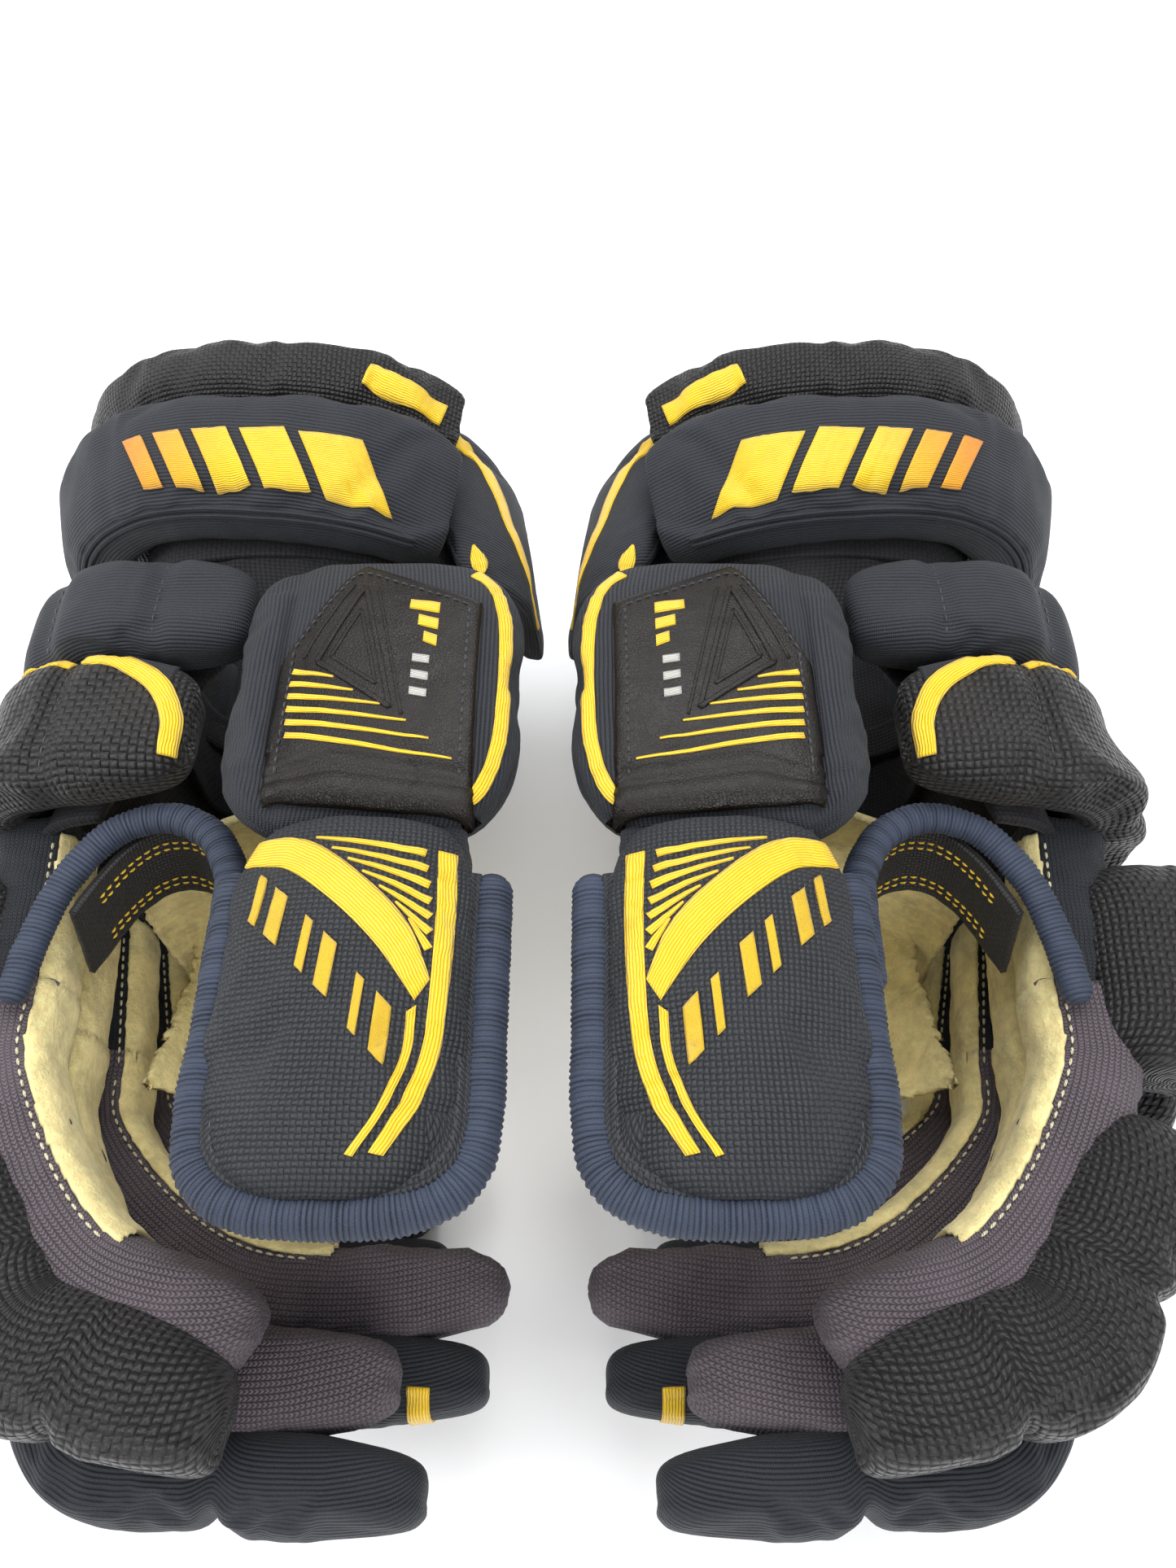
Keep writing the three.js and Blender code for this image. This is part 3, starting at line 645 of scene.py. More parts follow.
def woven(name, colour, pitch, depth, gap_shade=0.45, roughness=0.62, worn=0.25, light=1.7, crown_highlight=1.3):
    """Plain weave: threads go over and under each other. The thread crowns are painted lighter as a painted
    highlight, and the gaps between the threads darker as painted shade.
    """
    f = Finish(name, roughness, sheen=CLOTH_SHEEN)
    wobble = f.times(f.noise(9.0, 1.0), 0.35)
    x = f.plus(f.over(f.u, pitch), wobble)
    y = f.plus(f.over(f.v, pitch), wobble)
    parity = f.math("FLOORED_MODULO", f.plus(f.math("FLOOR", x), f.math("FLOOR", y)), 2.0)
    warp, weft = f.wave(x), f.wave(y)
    rounded = lambda over, under: f.times(f.power(over, 0.7), f.plus(f.times(under, 0.5), 0.5))
    height = f.blend_numbers(parity, rounded(weft, warp), rounded(warp, weft))
    fibres = f.noise(0.45, 2.0)
    full = f.plus(height, f.times(fibres, 0.25))
    # Painted shade in the gaps between threads, and a painted highlight on the thread crowns.
    cloth = f.mix(f.range(height, 0.25, 0.95), shade(colour, 1 - gap_shade), shade(colour, crown_highlight))
    patches = f.range(f.noise(26.0, 4.0, 0.6), 0.35, 0.7)
    cloth = f.mix(f.times(patches, 0.5), cloth, shade(colour, light))
    rub = f.times(f.range(fibres, 0.55, 0.75), f.range(f.noise(14.0, 3.0), 0.5, 0.75))
    cloth = f.mix(f.times(rub, worn), cloth, shade(colour, 4.5))
    return f.finish(cloth, full, depth, f.range(full, 0.2, 1.1, roughness + 0.12, roughness - 0.08))


def ribbed(name, colour, pitch, depth, fine=0.55, roughness=0.68, light=1.6, across=False):
    """Cloth or ribbon with ribs, and fine threads across them. The rib crests are painted lighter as a
    painted highlight, and the hollows between the ribs darker as painted shade.
    """
    f = Finish(name, roughness, sheen=CLOTH_SHEEN)
    first, second = (f.v, f.u) if across else (f.u, f.v)
    wobble = f.times(f.noise(12.0, 1.0), 0.5)
    rib = f.wave(f.plus(f.over(first, pitch), wobble))
    cross = f.wave(f.over(second, fine))
    fibres = f.noise(0.4, 2.0)
    height = f.plus(f.power(rib, 0.6), f.times(cross, 0.3))
    height = f.plus(height, f.times(fibres, 0.25))
    # Painted shade in the hollows between ribs, and a painted highlight on the rib crests.
    cloth = f.mix(f.range(rib, 0.1, 0.85), shade(colour, 0.35), shade(colour, 1.45))
    clouds = f.times(f.range(f.noise(22.0, 4.0), 0.4, 0.72), 0.5)
    cloth = f.mix(clouds, cloth, shade(colour, light))
    rub = f.times(f.range(fibres, 0.58, 0.75), 0.3)
    cloth = f.mix(rub, cloth, shade(colour, 3.6))
    return f.finish(cloth, height, depth, f.range(height, 0.2, 1.3, roughness + 0.1, roughness - 0.06))


def knitted(name, colour, pitch, depth, light=1.5):
    """Warp knit: rows of small V stitches with holes between them. The holes are painted darker as painted
    shade, and the loops lighter as a painted highlight.
    """
    f = Finish(name, 0.7, sheen=0.08)
    x = f.over(f.u, pitch)
    centred = f.math("ABSOLUTE", f.less(f.math("FRACT", x), 0.5))
    y = f.plus(f.over(f.v, pitch * 0.85), f.times(centred, 1.1))
    loop = f.wave(y)
    hole = f.less(1.0, f.power(f.times(centred, 2.0), 4.0))
    height = f.times(f.power(loop, 0.6), hole)
    fibres = f.noise(0.5, 2.0)
    # Painted shade in the holes, and a painted highlight on the raised loops.
    cloth = f.mix(f.range(height, 0.15, 0.9), shade(colour, 0.45), shade(colour, 1.3))
    cloth = f.mix(f.times(f.range(f.noise(18.0, 4.0), 0.4, 0.7), 0.5), cloth, shade(colour, light))
    cloth = f.mix(f.times(f.range(fibres, 0.6, 0.78), 0.3), cloth, shade(colour, 3.0))
    return f.finish(cloth, f.plus(height, f.times(fibres, 0.2)), depth)


def suede(name, colour):
    """Split leather: a short nap with darker and lighter clouds."""
    f = Finish(name, 0.95, sheen=0.25, specular=0.15)
    nap, clouds, grain = f.noise(0.7, 4.0, 0.7), f.noise(9.0, 5.0, 0.6), f.noise(2.6, 4.0, 0.65)
    cloth = f.mix(f.range(clouds, 0.32, 0.7), shade(colour, 0.72), shade(colour, 1.22))
    cloth = f.mix(f.times(f.range(grain, 0.45, 0.7), 0.5), cloth, shade(colour, 1.45))
    cloth = f.mix(f.times(f.range(nap, 0.52, 0.75), 0.35), cloth, shade(colour, 0.55))
    height = f.plus(nap, f.times(grain, 1.6))
    return f.finish(cloth, height, 0.55, f.range(nap, 0.3, 0.7, 0.85, 1.0))


def moulded(name, colour, roughness=0.42, grain_mm=1.1, depth=0.16):
    """Synthetic leather or plastic with a pressed grain."""
    f = Finish(name, roughness, specular=0.25, coat=0.03)
    cells = f.range(f.cells(grain_mm), 0.0, 0.28)
    clouds = f.noise(16.0, 4.0)
    cloth = f.mix(cells, shade(colour, 0.6), shade(colour, 1.15))
    cloth = f.mix(f.times(f.range(clouds, 0.4, 0.7), 0.5), cloth, shade(colour, 1.7))
    scuff = f.times(f.range(f.noise(1.3, 4.0), 0.62, 0.74), f.range(f.noise(20.0, 2.0), 0.5, 0.66))
    cloth = f.mix(f.times(scuff, 0.5), cloth, shade(colour, 5.0))
    height = f.plus(cells, f.times(f.noise(0.6, 2.0), 0.3))
    return f.finish(cloth, height, depth, f.range(clouds, 0.3, 0.7, roughness - 0.07, roughness + 0.14))


def satin(name, colour, second=None, low=0.0, high=1.0, pitch=0.55):
    """Embroidery: rows of shiny thread, in one colour or running from one into another. The grooves between
    the rows are painted darker as painted shade.
    """
    f = Finish(name, 0.42, sheen=0.2, specular=0.5)
    rows = f.wave(f.plus(f.over(f.u, pitch), f.times(f.noise(5.0, 2.0), 1.4)))
    thread = f.wave(f.plus(f.over(f.v, 3.1), f.noise(1.4, 1.0)))
    base = colour + (1.0,) if len(colour) == 3 else tuple(colour)
    if second is not None:
        split = f.tree.nodes.new("ShaderNodeSeparateXYZ")
        f.put(split.inputs[0], f.place)
        far = f.math("ABSOLUTE", split.outputs[0])
        wide = f.plus(far, f.times(f.noise(3.0, 2.0), 0.006))
        base = f.mix(f.range(wide, low, high), base, tuple(second)[:3] + (1.0,))
    # Painted shade in the grooves between the rows of thread.
    row_shade = f.mix(f.times(f.less(1.0, rows), 0.55), base, shade(colour, 0.32))
    clouds = f.mix(f.times(f.range(f.noise(7.0, 4.0), 0.45, 0.7), 0.3), row_shade, shade(colour, 0.62))
    height = f.plus(rows, f.times(thread, 0.35))
    return f.finish(clouds, height, 0.22)


def studio_floor(name, colour):
    """Matt paper."""
    f = Finish(name, 0.7, specular=0.2)
    cloth = f.mix(f.range(f.noise(220.0, 2.0), 0.3, 0.7), shade(colour, 0.99), shade(colour, 1.0))
    return f.finish(cloth, f.noise(2.0, 2.0), 0.02)


# ---- Sizes and colours --------------------------------------------------------------------------
def colour_property(name, description, default):
    return bpy.props.FloatVectorProperty(
        name=name, description=description, subtype="COLOR", size=3, min=0, max=1, default=default
    )


def length_property(name, description, millimetres):
    return bpy.props.FloatProperty(
        name=name, description=description, unit="LENGTH", min=0.0, precision=5, default=millimetres * MM
    )


class GLOVES_PG_colours(bpy.types.PropertyGroup):
    """Colours of the cloth, leather and thread."""

    navy: colour_property(
        "Navy cloth", "Ribbed cloth on the cuff, back and thumb base", (0.0118, 0.0136, 0.018)
    )
    thumb: colour_property("Thumb cloth", "Coarse woven nylon on the thumb", (0.0138, 0.0152, 0.0182))
    black: colour_property("Black mesh", "Coarse mesh on the finger rolls", (0.0075, 0.0068, 0.0068))
    gusset: colour_property("Gusset knit", "Stretch cloth between the fingers", (0.08, 0.064, 0.074))
    suede: colour_property("Palm suede", "Suede of the palm", (0.82, 0.675, 0.31))
    ribbon: colour_property("Binding ribbon", "Ribbon round the thumb and the web", (0.021, 0.028, 0.046))
    label: colour_property("Moulded label", "Pressed leather on the thumb base", (0.0068, 0.0048, 0.0036))
    lining: colour_property("Lining", "Inside of the glove", (0.014, 0.014, 0.016))
    yellow: colour_property("Yellow", "Tapes, stripes and marks", (0.9, 0.56, 0.006))
    orange: colour_property("Orange", "Outer end of the mark on the cuff", (0.8, 0.2, 0.006))
    thread: colour_property("Pale thread", "Stitches on the suede", (0.72, 0.66, 0.44))
    floor: colour_property("Floor", "Studio floor", (0.97, 0.97, 0.97))


class GLOVES_PG_sizes(bpy.types.PropertyGroup):
    """Sizes of the sewing and the weave."""

    weave: length_property("Thumb weave", "From one thread to the next on the thumb", 1.3)
    mesh: length_property("Mesh weave", "From one thread to the next in the black mesh", 2.1)
    rib: length_property("Cloth rib", "From one rib to the next in the navy cloth", 1.15)
    ribbon_rib: length_property("Ribbon rib", "From one rib to the next on the binding", 1.5)
    stitch: length_property("Stitch", "From one stitch to the next", 3.0)
    puff: bpy.props.FloatProperty(
        name="Puff", description="Air pressure that swells the pads", default=3.0, min=0.0, max=20.0
    )
    movement: length_property("Swell limit", "How far the cloth of a pad may move when it swells", 2.6)


class Maker:
    """What the operators of this file share."""

    bl_options = {"REGISTER", "UNDO"}

    @property
    def colours(self):
        return bpy.context.scene.glove_colours

    @property
    def sizes(self):
        return bpy.context.scene.glove_sizes


CAMERA_PLACE, CAMERA_TILT, LENS_MM, SENSOR_MM = (0.011, -0.1724, 0.398), 33.0, 27.03, 36.0
LAMPS = {
    "lamp_above": ((0.1, 0.35, 1.0), (0.03, 0.0, 0.1), 1.0, 12.0),
    "lamp_left": ((-0.9, -0.1, 0.7), (-0.1, 0.0, 0.1), 0.7, 8.0),
    "lamp_front": ((0.4, -0.95, 0.9), (0.05, -0.2, 0.1), 0.7, 10.0),
}
FLOOR_HALF, FLOOR_DROP = 2500.0, -0.3


class GLOVES_OT_stage(Maker, bpy.types.Operator):
    """Make the camera, the studio lights and the floor"""

    bl_idname = "gloves.stage"
    bl_label = "Stage"

    def execute(self, context):
        camera = bpy.data.cameras.new("camera")
        camera.lens, camera.sensor_width = LENS_MM, SENSOR_MM
        camera.clip_start, camera.clip_end = 0.01, 20.0
        viewer = bpy.data.objects.new("camera", camera)
        viewer.location = CAMERA_PLACE
        viewer.rotation_euler = (math.radians(CAMERA_TILT), 0, 0)
        context.scene.collection.objects.link(viewer)
        context.scene.camera = viewer
        context.scene.view_settings.view_transform = "Standard"
        world = bpy.data.worlds.new("studio")
        world.use_nodes = True
        world.node_tree.nodes["Background"].inputs[0].default_value = (0.93, 0.95, 1.0, 1)
        world.node_tree.nodes["Background"].inputs[1].default_value = 0.62
        context.scene.world = world
        for name, (place, aim, size, power) in LAMPS.items():
            lamp = bpy.data.lights.new(name, "AREA")
            lamp.shape, lamp.size, lamp.energy = "SQUARE", size, power
            item = bpy.data.objects.new(name, lamp)
            item.location = place
            item.rotation_euler = (Vector(aim) - Vector(place)).to_track_quat("-Z", "Y").to_euler()
            context.scene.collection.objects.link(item)
        studio_floor("studio_floor", tuple(self.colours.floor))
        u = np.linspace(-1, 1, 9)
        x, y = np.meshgrid(u * FLOOR_HALF, u * FLOOR_HALF)
        grid = np.stack([x, y, np.full_like(x, FLOOR_DROP)], -1)
        mesh = left_mesh("floor", Form.grid(grid, grid_uv(grid, False), False), FINISHES["studio_floor"])
        floor = bpy.data.objects.new("floor", mesh)
        context.scene.collection.objects.link(floor)
        return {"FINISHED"}


class GLOVES_OT_finishes(Maker, bpy.types.Operator):
    """Make the cloth, leather, thread and plastic finishes"""

    bl_idname = "gloves.finishes"
    bl_label = "Finishes"

    def execute(self, context):
        c, s = self.colours, self.sizes
        ribbed("navy_cloth", tuple(c.navy), s.rib / MM, 0.34)
        woven("thumb_nylon", tuple(c.thumb), s.weave / MM, 0.42, 0.75, 0.5, 0.3, crown_highlight=1.55)
        # The meshes get a strong painted highlight on their thread crowns, standing in for glints.
        woven("black_mesh", tuple(c.black), s.mesh / MM, 0.9, 0.85, 0.42, 0.5, 2.4, 2.6)
        woven("cuff_mesh", shade(tuple(c.black), 1.05)[:3], 1.5, 0.7, 0.85, 0.4, 0.3, crown_highlight=2.4)
        knitted("gusset_knit", tuple(c.gusset), 1.5, 0.45)
        knitted("navy_knit", tuple(c.navy), 1.2, 0.35)
        suede("palm_suede", tuple(c.suede))
        woven("web_cloth", shade(tuple(c.black), 1.3)[:3], 1.0, 0.25, roughness=0.5, worn=0.3)
        ribbed("ribbon", tuple(c.ribbon), s.ribbon_rib / MM, 0.18, fine=0.7, across=True, light=1.9)
        moulded("label_leather", tuple(c.label), roughness=0.36, grain_mm=0.9, depth=0.07)
        moulded("plastic", (0.02, 0.022, 0.026), roughness=0.35, grain_mm=2.4, depth=0.05)
        woven("lining", tuple(c.lining), 1.6, 0.25, roughness=0.8, worn=0.1)
        satin("yellow_tape", tuple(c.yellow), pitch=0.8)
        satin("yellow_thread", tuple(c.yellow), pitch=0.4)
        satin("cuff_mark", tuple(c.yellow), tuple(c.orange), 0.1, 0.138, pitch=0.7)
        satin("pale_thread", tuple(c.thread), pitch=0.5)
        satin("navy_thread", shade(tuple(c.navy), 1.6)[:3], pitch=0.5)
        satin("white_mark", (0.5, 0.49, 0.45), pitch=0.6)
        return {"FINISHED"}


# ---- Padded pieces ------------------------------------------------------------------------------
ROLLS, FORMS, TREES = {}, {}, {}
LARGE_ROLLS = {"cuff_roll", "back_roll_upper", "back_roll_lower", "cuff_end_roll"}
# How far a point is through the pad before it counts as free, and how close to a fold it is held.
FREE_SHARE, FOLD_SHARE = 0.12, 0.7


def bones(finger):
    """Knuckle, joints and tip of a finger, with the way each bone points and the way its back faces."""
    bends, lengths = FINGERS[finger]
    place = lambda name: np.array(JOINTS[f"left_{finger}_{name}_bend"]["pos_m"]) / MM - [0, SHIFT_Y, 0]
    places = [place("base"), place("tip")]
    along = [np.array([-math.sin(math.radians(b)), -math.cos(math.radians(b)), 0]) for b in bends]
    back = [np.array([math.cos(math.radians(b)), -math.sin(math.radians(b)), 0]) for b in bends]
    places.append(places[1] + along[1] * lengths[1])
    places.append(places[2] + along[2] * lengths[2])
    return places, along, back, lengths


def away(tangent, u):
    """Out of the glove, for a roll that lies across it."""
    return np.cross(tangent, ALONG)


def finger_back(tangent, u):
    """Out of the back of a finger."""
    return -np.cross(tangent, UP)


def straight_up(tangent, u):
    return np.broadcast_to(UP, tangent.shape)


def level(u, tangent):
    return np.broadcast_to(ACROSS, tangent.shape)


def lengthwise(u, tangent):
    return np.broadcast_to(ALONG, tangent.shape)


CUFF_RING = (
    (36, 128), (60, 137), (92, 139), (126, 133), (148, 115), (156, 85), (156, 48), (150, 21), (132, 12.5)
)
CUFF_CENTRE = np.array([98.0, HAND_TOP - 49])
CUFF_START, CUFF_LENGTH, END_START, END_LENGTH = 97.0, 46.0, 145.0, 26.0
CUFF_FLARE = math.tan(math.radians(16))
CUFF_SLANT = 0.12


def cuff_ring(y, grow):
    """The line round the wrist from the thumb side over the back, widened by grow."""
    line = []
    for x, z in CUFF_RING:
        out = unit(np.array([x, z]) - CUFF_CENTRE)
        rise = out[1] * (grow if z > 40 else 0)
        line.append((x + out[0] * grow, y + (x - CUFF_RING[0][0]) * CUFF_SLANT, z + rise))
    return line


def cuff_band(start, length, half_thick, extra, seams=()):
    """A roll of the cuff, which flares towards the glove's end."""
    grow = (length / 2 + start - WRIST_Y) * CUFF_FLARE * 0.5 + extra

    def flared(u, tangent):
        out = unit(np.cross(tangent, ALONG))
        return unit(ALONG + out * np.where(out[..., 2:] < -0.5, 0, CUFF_FLARE))

    path = cuff_ring(start + length / 2, grow)
    return Roll(path, away, length / 2, half_thick, half_thick, 3.0, 9, flared, seams)


def back_drop(side, mid, top):
    """The part of a back roll's path that runs down the back of the hand."""
    return [(side, mid, top - 26), (side, mid, 70), (side, mid, 2)]


def make_rolls():
    """Sets out every roll and pad of the left glove."""
    mid, top = WRIST_Y - 18, HAND_TOP + 11.6
    side = BACK_X + 10.6
    path = [(88, mid, top), (118, mid, top), (side - 8, mid, top - 7)] + back_drop(side, mid, top)
    folds = [("u", u, 3.2, 2.6) for u in (0.14, 0.3, 0.47, 0.63, 0.8)]
    ROLLS["back_roll_upper"] = Roll(path, away, 18, 13, 10, 3.4, 5, lengthwise, folds)
    mid = WRIST_Y - 59.2
    tilt = math.atan2(KNUCKLE_X - BACK_X, BACK_BEND_Y - LINER_FRONT_Y)
    share = (mid - LINER_FRONT_Y) / (BACK_BEND_Y - LINER_FRONT_Y)
    side = KNUCKLE_X + (BACK_X - KNUCKLE_X) * share + 10.6 / math.cos(tilt) + 0.5
    path = [(98, mid, top), (124, mid, top), (side - 9, mid, top - 7)] + back_drop(side, mid, top)
    slope = np.array([-math.sin(tilt), math.cos(tilt), 0])

    def leaning(u, tangent):
        t = ease(np.asarray(u), 0.15, 0.35)[..., None]
        return ALONG * (1 - t) + slope * t

    folds = [("u", u, 3.4, 2.8) for u in (0.2, 0.37, 0.55, 0.72, 0.88)]
    ROLLS["back_roll_lower"] = Roll(path, away, 22, 13, 10, 3.4, 5, leaning, folds)
    middle = HAND_TOP + 36 - 13.2
    ROLLS["thumb_base_roll"] = Roll(
        [(46, -9, middle), (46, 80, middle)], straight_up, 38, 13.2, 8.8, 4, 4, level, [("v", 0.62, 1.6, 1.8)]
    )
    ROLLS["thumb_pad"] = Roll(
        [(THUMB_X + 1.5, THUMB_START + 4, PAD_FOOT + 6.3), (THUMB_X + 1.5, THUMB_END - 2, PAD_FOOT + 6.3)],
        straight_up, THUMB_HALF + 3.0, 12.2, 6.3, 2.7, (4.8, 3.5), level,
    )
    ROLLS["cuff_roll"] = cuff_band(CUFF_START, CUFF_LENGTH, 10.5, 0, [("v", -0.72, 1.8, 1.6)])
    ROLLS["cuff_end_roll"] = cuff_band(END_START, END_LENGTH, 8, -4)
    mid = CUFF_START + 36
    slant = unit(np.array([0.22, 1.0, 0]))
    ROLLS["cuff_flap"] = Roll(
        [(x, mid, HAND_TOP + z) for x, z in ((38, 6), (27, 0), (18, -13), (13.5, -31), (13, -43))],
        lambda tangent, u: -np.cross(tangent, ALONG), 36, 6, 6, 3.4, 6,
        lambda u, tangent: np.broadcast_to(slant, tangent.shape), [("v", 0.8, 1.2, 1.5)],
    )
    lift = SLEEVE_HALF_DEPTH + FIT + ROLL_THICK / 2
    for finger in FINGERS:
        places, along, back, lengths = bones(finger)
        high = UP * 3.4 if finger == "index" else UP * 0
        half = SLEEVE_HALF_WIDTH + high[2]
        inner = 22 if finger == "index" else 12
        above = back[0] * lift
        path = [
            places[0] - along[0] * 3 + above + high,
            places[0] + along[0] * (lengths[0] - 1) + above + high,
        ]
        ROLLS[finger + "_base_roll"] = Roll(path, finger_back, half, 10, inner, 3, 4.2)
        corner = unit(back[1] + back[2])
        widened = lift / math.cos(0.5 * math.acos(float(np.dot(back[1], back[2]))))
        path = [
            places[1] + along[1] * 3 + back[1] * lift,
            places[2] - along[1] * 14 + back[1] * (lift + 1.6),
            places[2] + corner * (widened + 0.8),
            places[2] + along[2] * 14 + back[2] * (lift + 1.6),
            places[3] + along[2] * (-1 if finger == "ring" else 5) + back[2] * lift,
        ]
        folds = [("u", 0.36, 4.2, 3.0), ("u", 0.7, 4.2, 3.0)]
        path = [place + high for place in path]
        ROLLS[finger + "_tip_roll"] = Roll(path, finger_back, half, 10, inner, 3, 4.2, None, folds)


def swell(forms, pressure, limit):
    """Blows the pads up as cloth that is held along its seams and on its inner face."""
    whole = Form.joined(list(forms.values()))
    mesh = bpy.data.meshes.new("stuffing")
    mesh.from_pydata((whole.points * MM).tolist(), [], [list(face) for face in whole.faces])
    item = bpy.data.objects.new("stuffing", mesh)
    bpy.context.scene.collection.objects.link(item)
    sewn = item.vertex_groups.new(name="sewn")
    held = np.concatenate([form.held for form in forms.values()])
    sewn.add([int(i) for i in np.nonzero(held)[0]], 1.0, "REPLACE")
    cloth = item.modifiers.new("cloth", "CLOTH")
    settings = cloth.settings
    settings.quality, settings.mass = 4, 0.2
    settings.tension_stiffness = settings.compression_stiffness = 12
    settings.shear_stiffness, settings.bending_stiffness = 4, 0.3
    settings.use_pressure, settings.uniform_pressure_force = True, pressure
    settings.vertex_group_mass = "sewn"
    settings.shrink_min = -0.06
    settings.effector_weights.gravity = 0
    cloth.collision_settings.use_collision = False
    cloth.point_cache.frame_start, cloth.point_cache.frame_end = 1, CLOTH_FRAMES
    scene = bpy.context.scene
    for step in range(1, CLOTH_FRAMES + 1):
        scene.frame_set(step)
    shaped = item.evaluated_get(bpy.context.evaluated_depsgraph_get()).to_mesh()
    moved = np.empty(len(whole.points) * 3)
    shaped.vertices.foreach_get("co", moved)
    move = moved.reshape(-1, 3) / MM - whole.points
    if not np.isfinite(move).all():
        raise RuntimeError("the cloth of the pads came apart")
    size = np.linalg.norm(move, axis=1, keepdims=True)
    move = move * (limit * np.tanh(size / limit) / np.maximum(size, 1e-6))
    first = 0
    for form in forms.values():
        form.points = form.points + move[first : first + len(form.points)]
        first += len(form.points)
    item.evaluated_get(bpy.context.evaluated_depsgraph_get()).to_mesh_clear()
    bpy.data.objects.remove(item)
    bpy.data.meshes.remove(mesh)
    scene.frame_set(1)


def holding(roll, form):
    """How firmly each point of a pad is sewn down: inner face and seams fully."""
    held = np.zeros(len(form.points))
    middle, _, out = roll.frame(np.linspace(0, 1, 200))
    for i, point in enumerate(form.points):
        k = int(np.argmin(((middle - point) ** 2).sum(1)))
        through = np.dot(point - middle[k], out[k])
        if through < roll.above * FREE_SHARE:
            held[i] = 1.0
        for kind, where, _, wide in roll.seams:
            if kind == "u" and abs(k / 199 - where) * roll.path.length < wide * FOLD_SHARE:
                held[i] = 1.0
    held[-2:] = 1.0
    return held


class GLOVES_OT_stuffing(Maker, bpy.types.Operator):
    """Shape the pads and rolls, and blow them up as sewn cloth"""

    bl_idname = "gloves.stuffing"
    bl_label = "Stuffing"

    def execute(self, context):
        make_rolls()
        for name, roll in ROLLS.items():
            form = roll.form(2.5 if name in LARGE_ROLLS else 2.1)
            form.held = holding(roll, form)
            FORMS[name] = form.outwards()
        swell(FORMS, self.sizes.puff, self.sizes.movement / MM)
        for number, (name, form) in enumerate(FORMS.items()):
            size, amount = (11.0, 0.55) if name in LARGE_ROLLS else (8.0, 0.35)
            form.crumpled(amount, size, number + 3)
            TREES[name] = form.tree()
        return {"FINISHED"}


def on_roll(name, u, v, count=60):
    """Points and outward directions along a line in the surface of a roll."""
    u, v = smooth(np.stack([u, v, np.zeros(len(u))], -1), count)[:, :2].T
    return ROLLS[name].at(u, v), ROLLS[name].normal(u, v)


# ---- The hand -----------------------------------------------------------------------------------
def back_at(y):
    """How far the back of the hand is from the middle, at a place along the hand."""
    share = np.clip((y - LINER_FRONT_Y) / (BACK_BEND_Y - LINER_FRONT_Y), 0, 1)
    return KNUCKLE_X + (BACK_X - KNUCKLE_X) * share


def liner_outline(y):
    """The liner in section: under the hand, up its back and over its thumb side."""
    back = float(back_at(y))
    edge = back - 25 + (HEEL_X + 6 - back + 25) * float(ease(y, 34.0, WRIST_Y))
    line = [(HEEL_X + 4, 0)]
    for radius, z, first in ((9, 9, -90), (24, HAND_TOP - 24, 0)):
        for turn in range(0, 91, 10):
            a = math.radians(first + turn)
            line.append((back - radius + radius * math.cos(a), z + radius * math.sin(a)))
    return line + [(edge, HAND_TOP)]


def liner_surface(u, v):
    grid = np.empty(u.shape + (3,))
    for row in range(u.shape[0]):
        y = LINER_FRONT_Y + (WRIST_Y - LINER_FRONT_Y) * v[row, 0]
        line = Path([(x, y, z) for x, z in liner_outline(y)], straight=True)
        grid[row] = line.at(u[row])
    return grid


def heel_at(z):
    """How far the heel of the palm leans in, at a height."""
    return HEEL_X - 62 * np.clip(z / PALM_TOP, 0, 1) ** 1.6


def palm_surface(u, v):
    """The palm from the finger roots to the wrist, and from the floor up."""
    y = PALM_FRONT_Y + (WRIST_Y - 2 - PALM_FRONT_Y) * u
    top = WEB_TOP - 22.5 + (PALM_TOP - WEB_TOP + 22.5) * ease(y, LINER_FRONT_Y, PALM_FRONT_Y + 34)
    z = PALM_FOOT + (top - PALM_FOOT) * v
    t = ease(y, PALM_FRONT_Y, PALM_FRONT_Y + 34)
    x = PALM_FRONT_X * (1 - t) + heel_at(z) * t
    creases = 1.6 * np.sin(z / 7.5 + y / 19.0) * np.exp(-((y - 40) / 30) ** 2)
    return np.stack([x + creases, y, z], -1)


def web_surface(u, v):
    """The strip that sags in a U between thumb and index finger."""
    sag = 26 * np.abs(2 * u - 1) ** 2.2
    x = PALM_FRONT_X - 2 - 44 * (1 - u)
    return np.stack([x, LINER_FRONT_Y - 4 - sag - 8 * v, WEB_TOP - 20.5 * v], -1)


def web_line(share, drop=0.0, count=60):
    """A line along the strip, at one share of its depth."""
    u = np.linspace(share[0], share[1], count)
    return web_surface(u, np.full(count, drop))


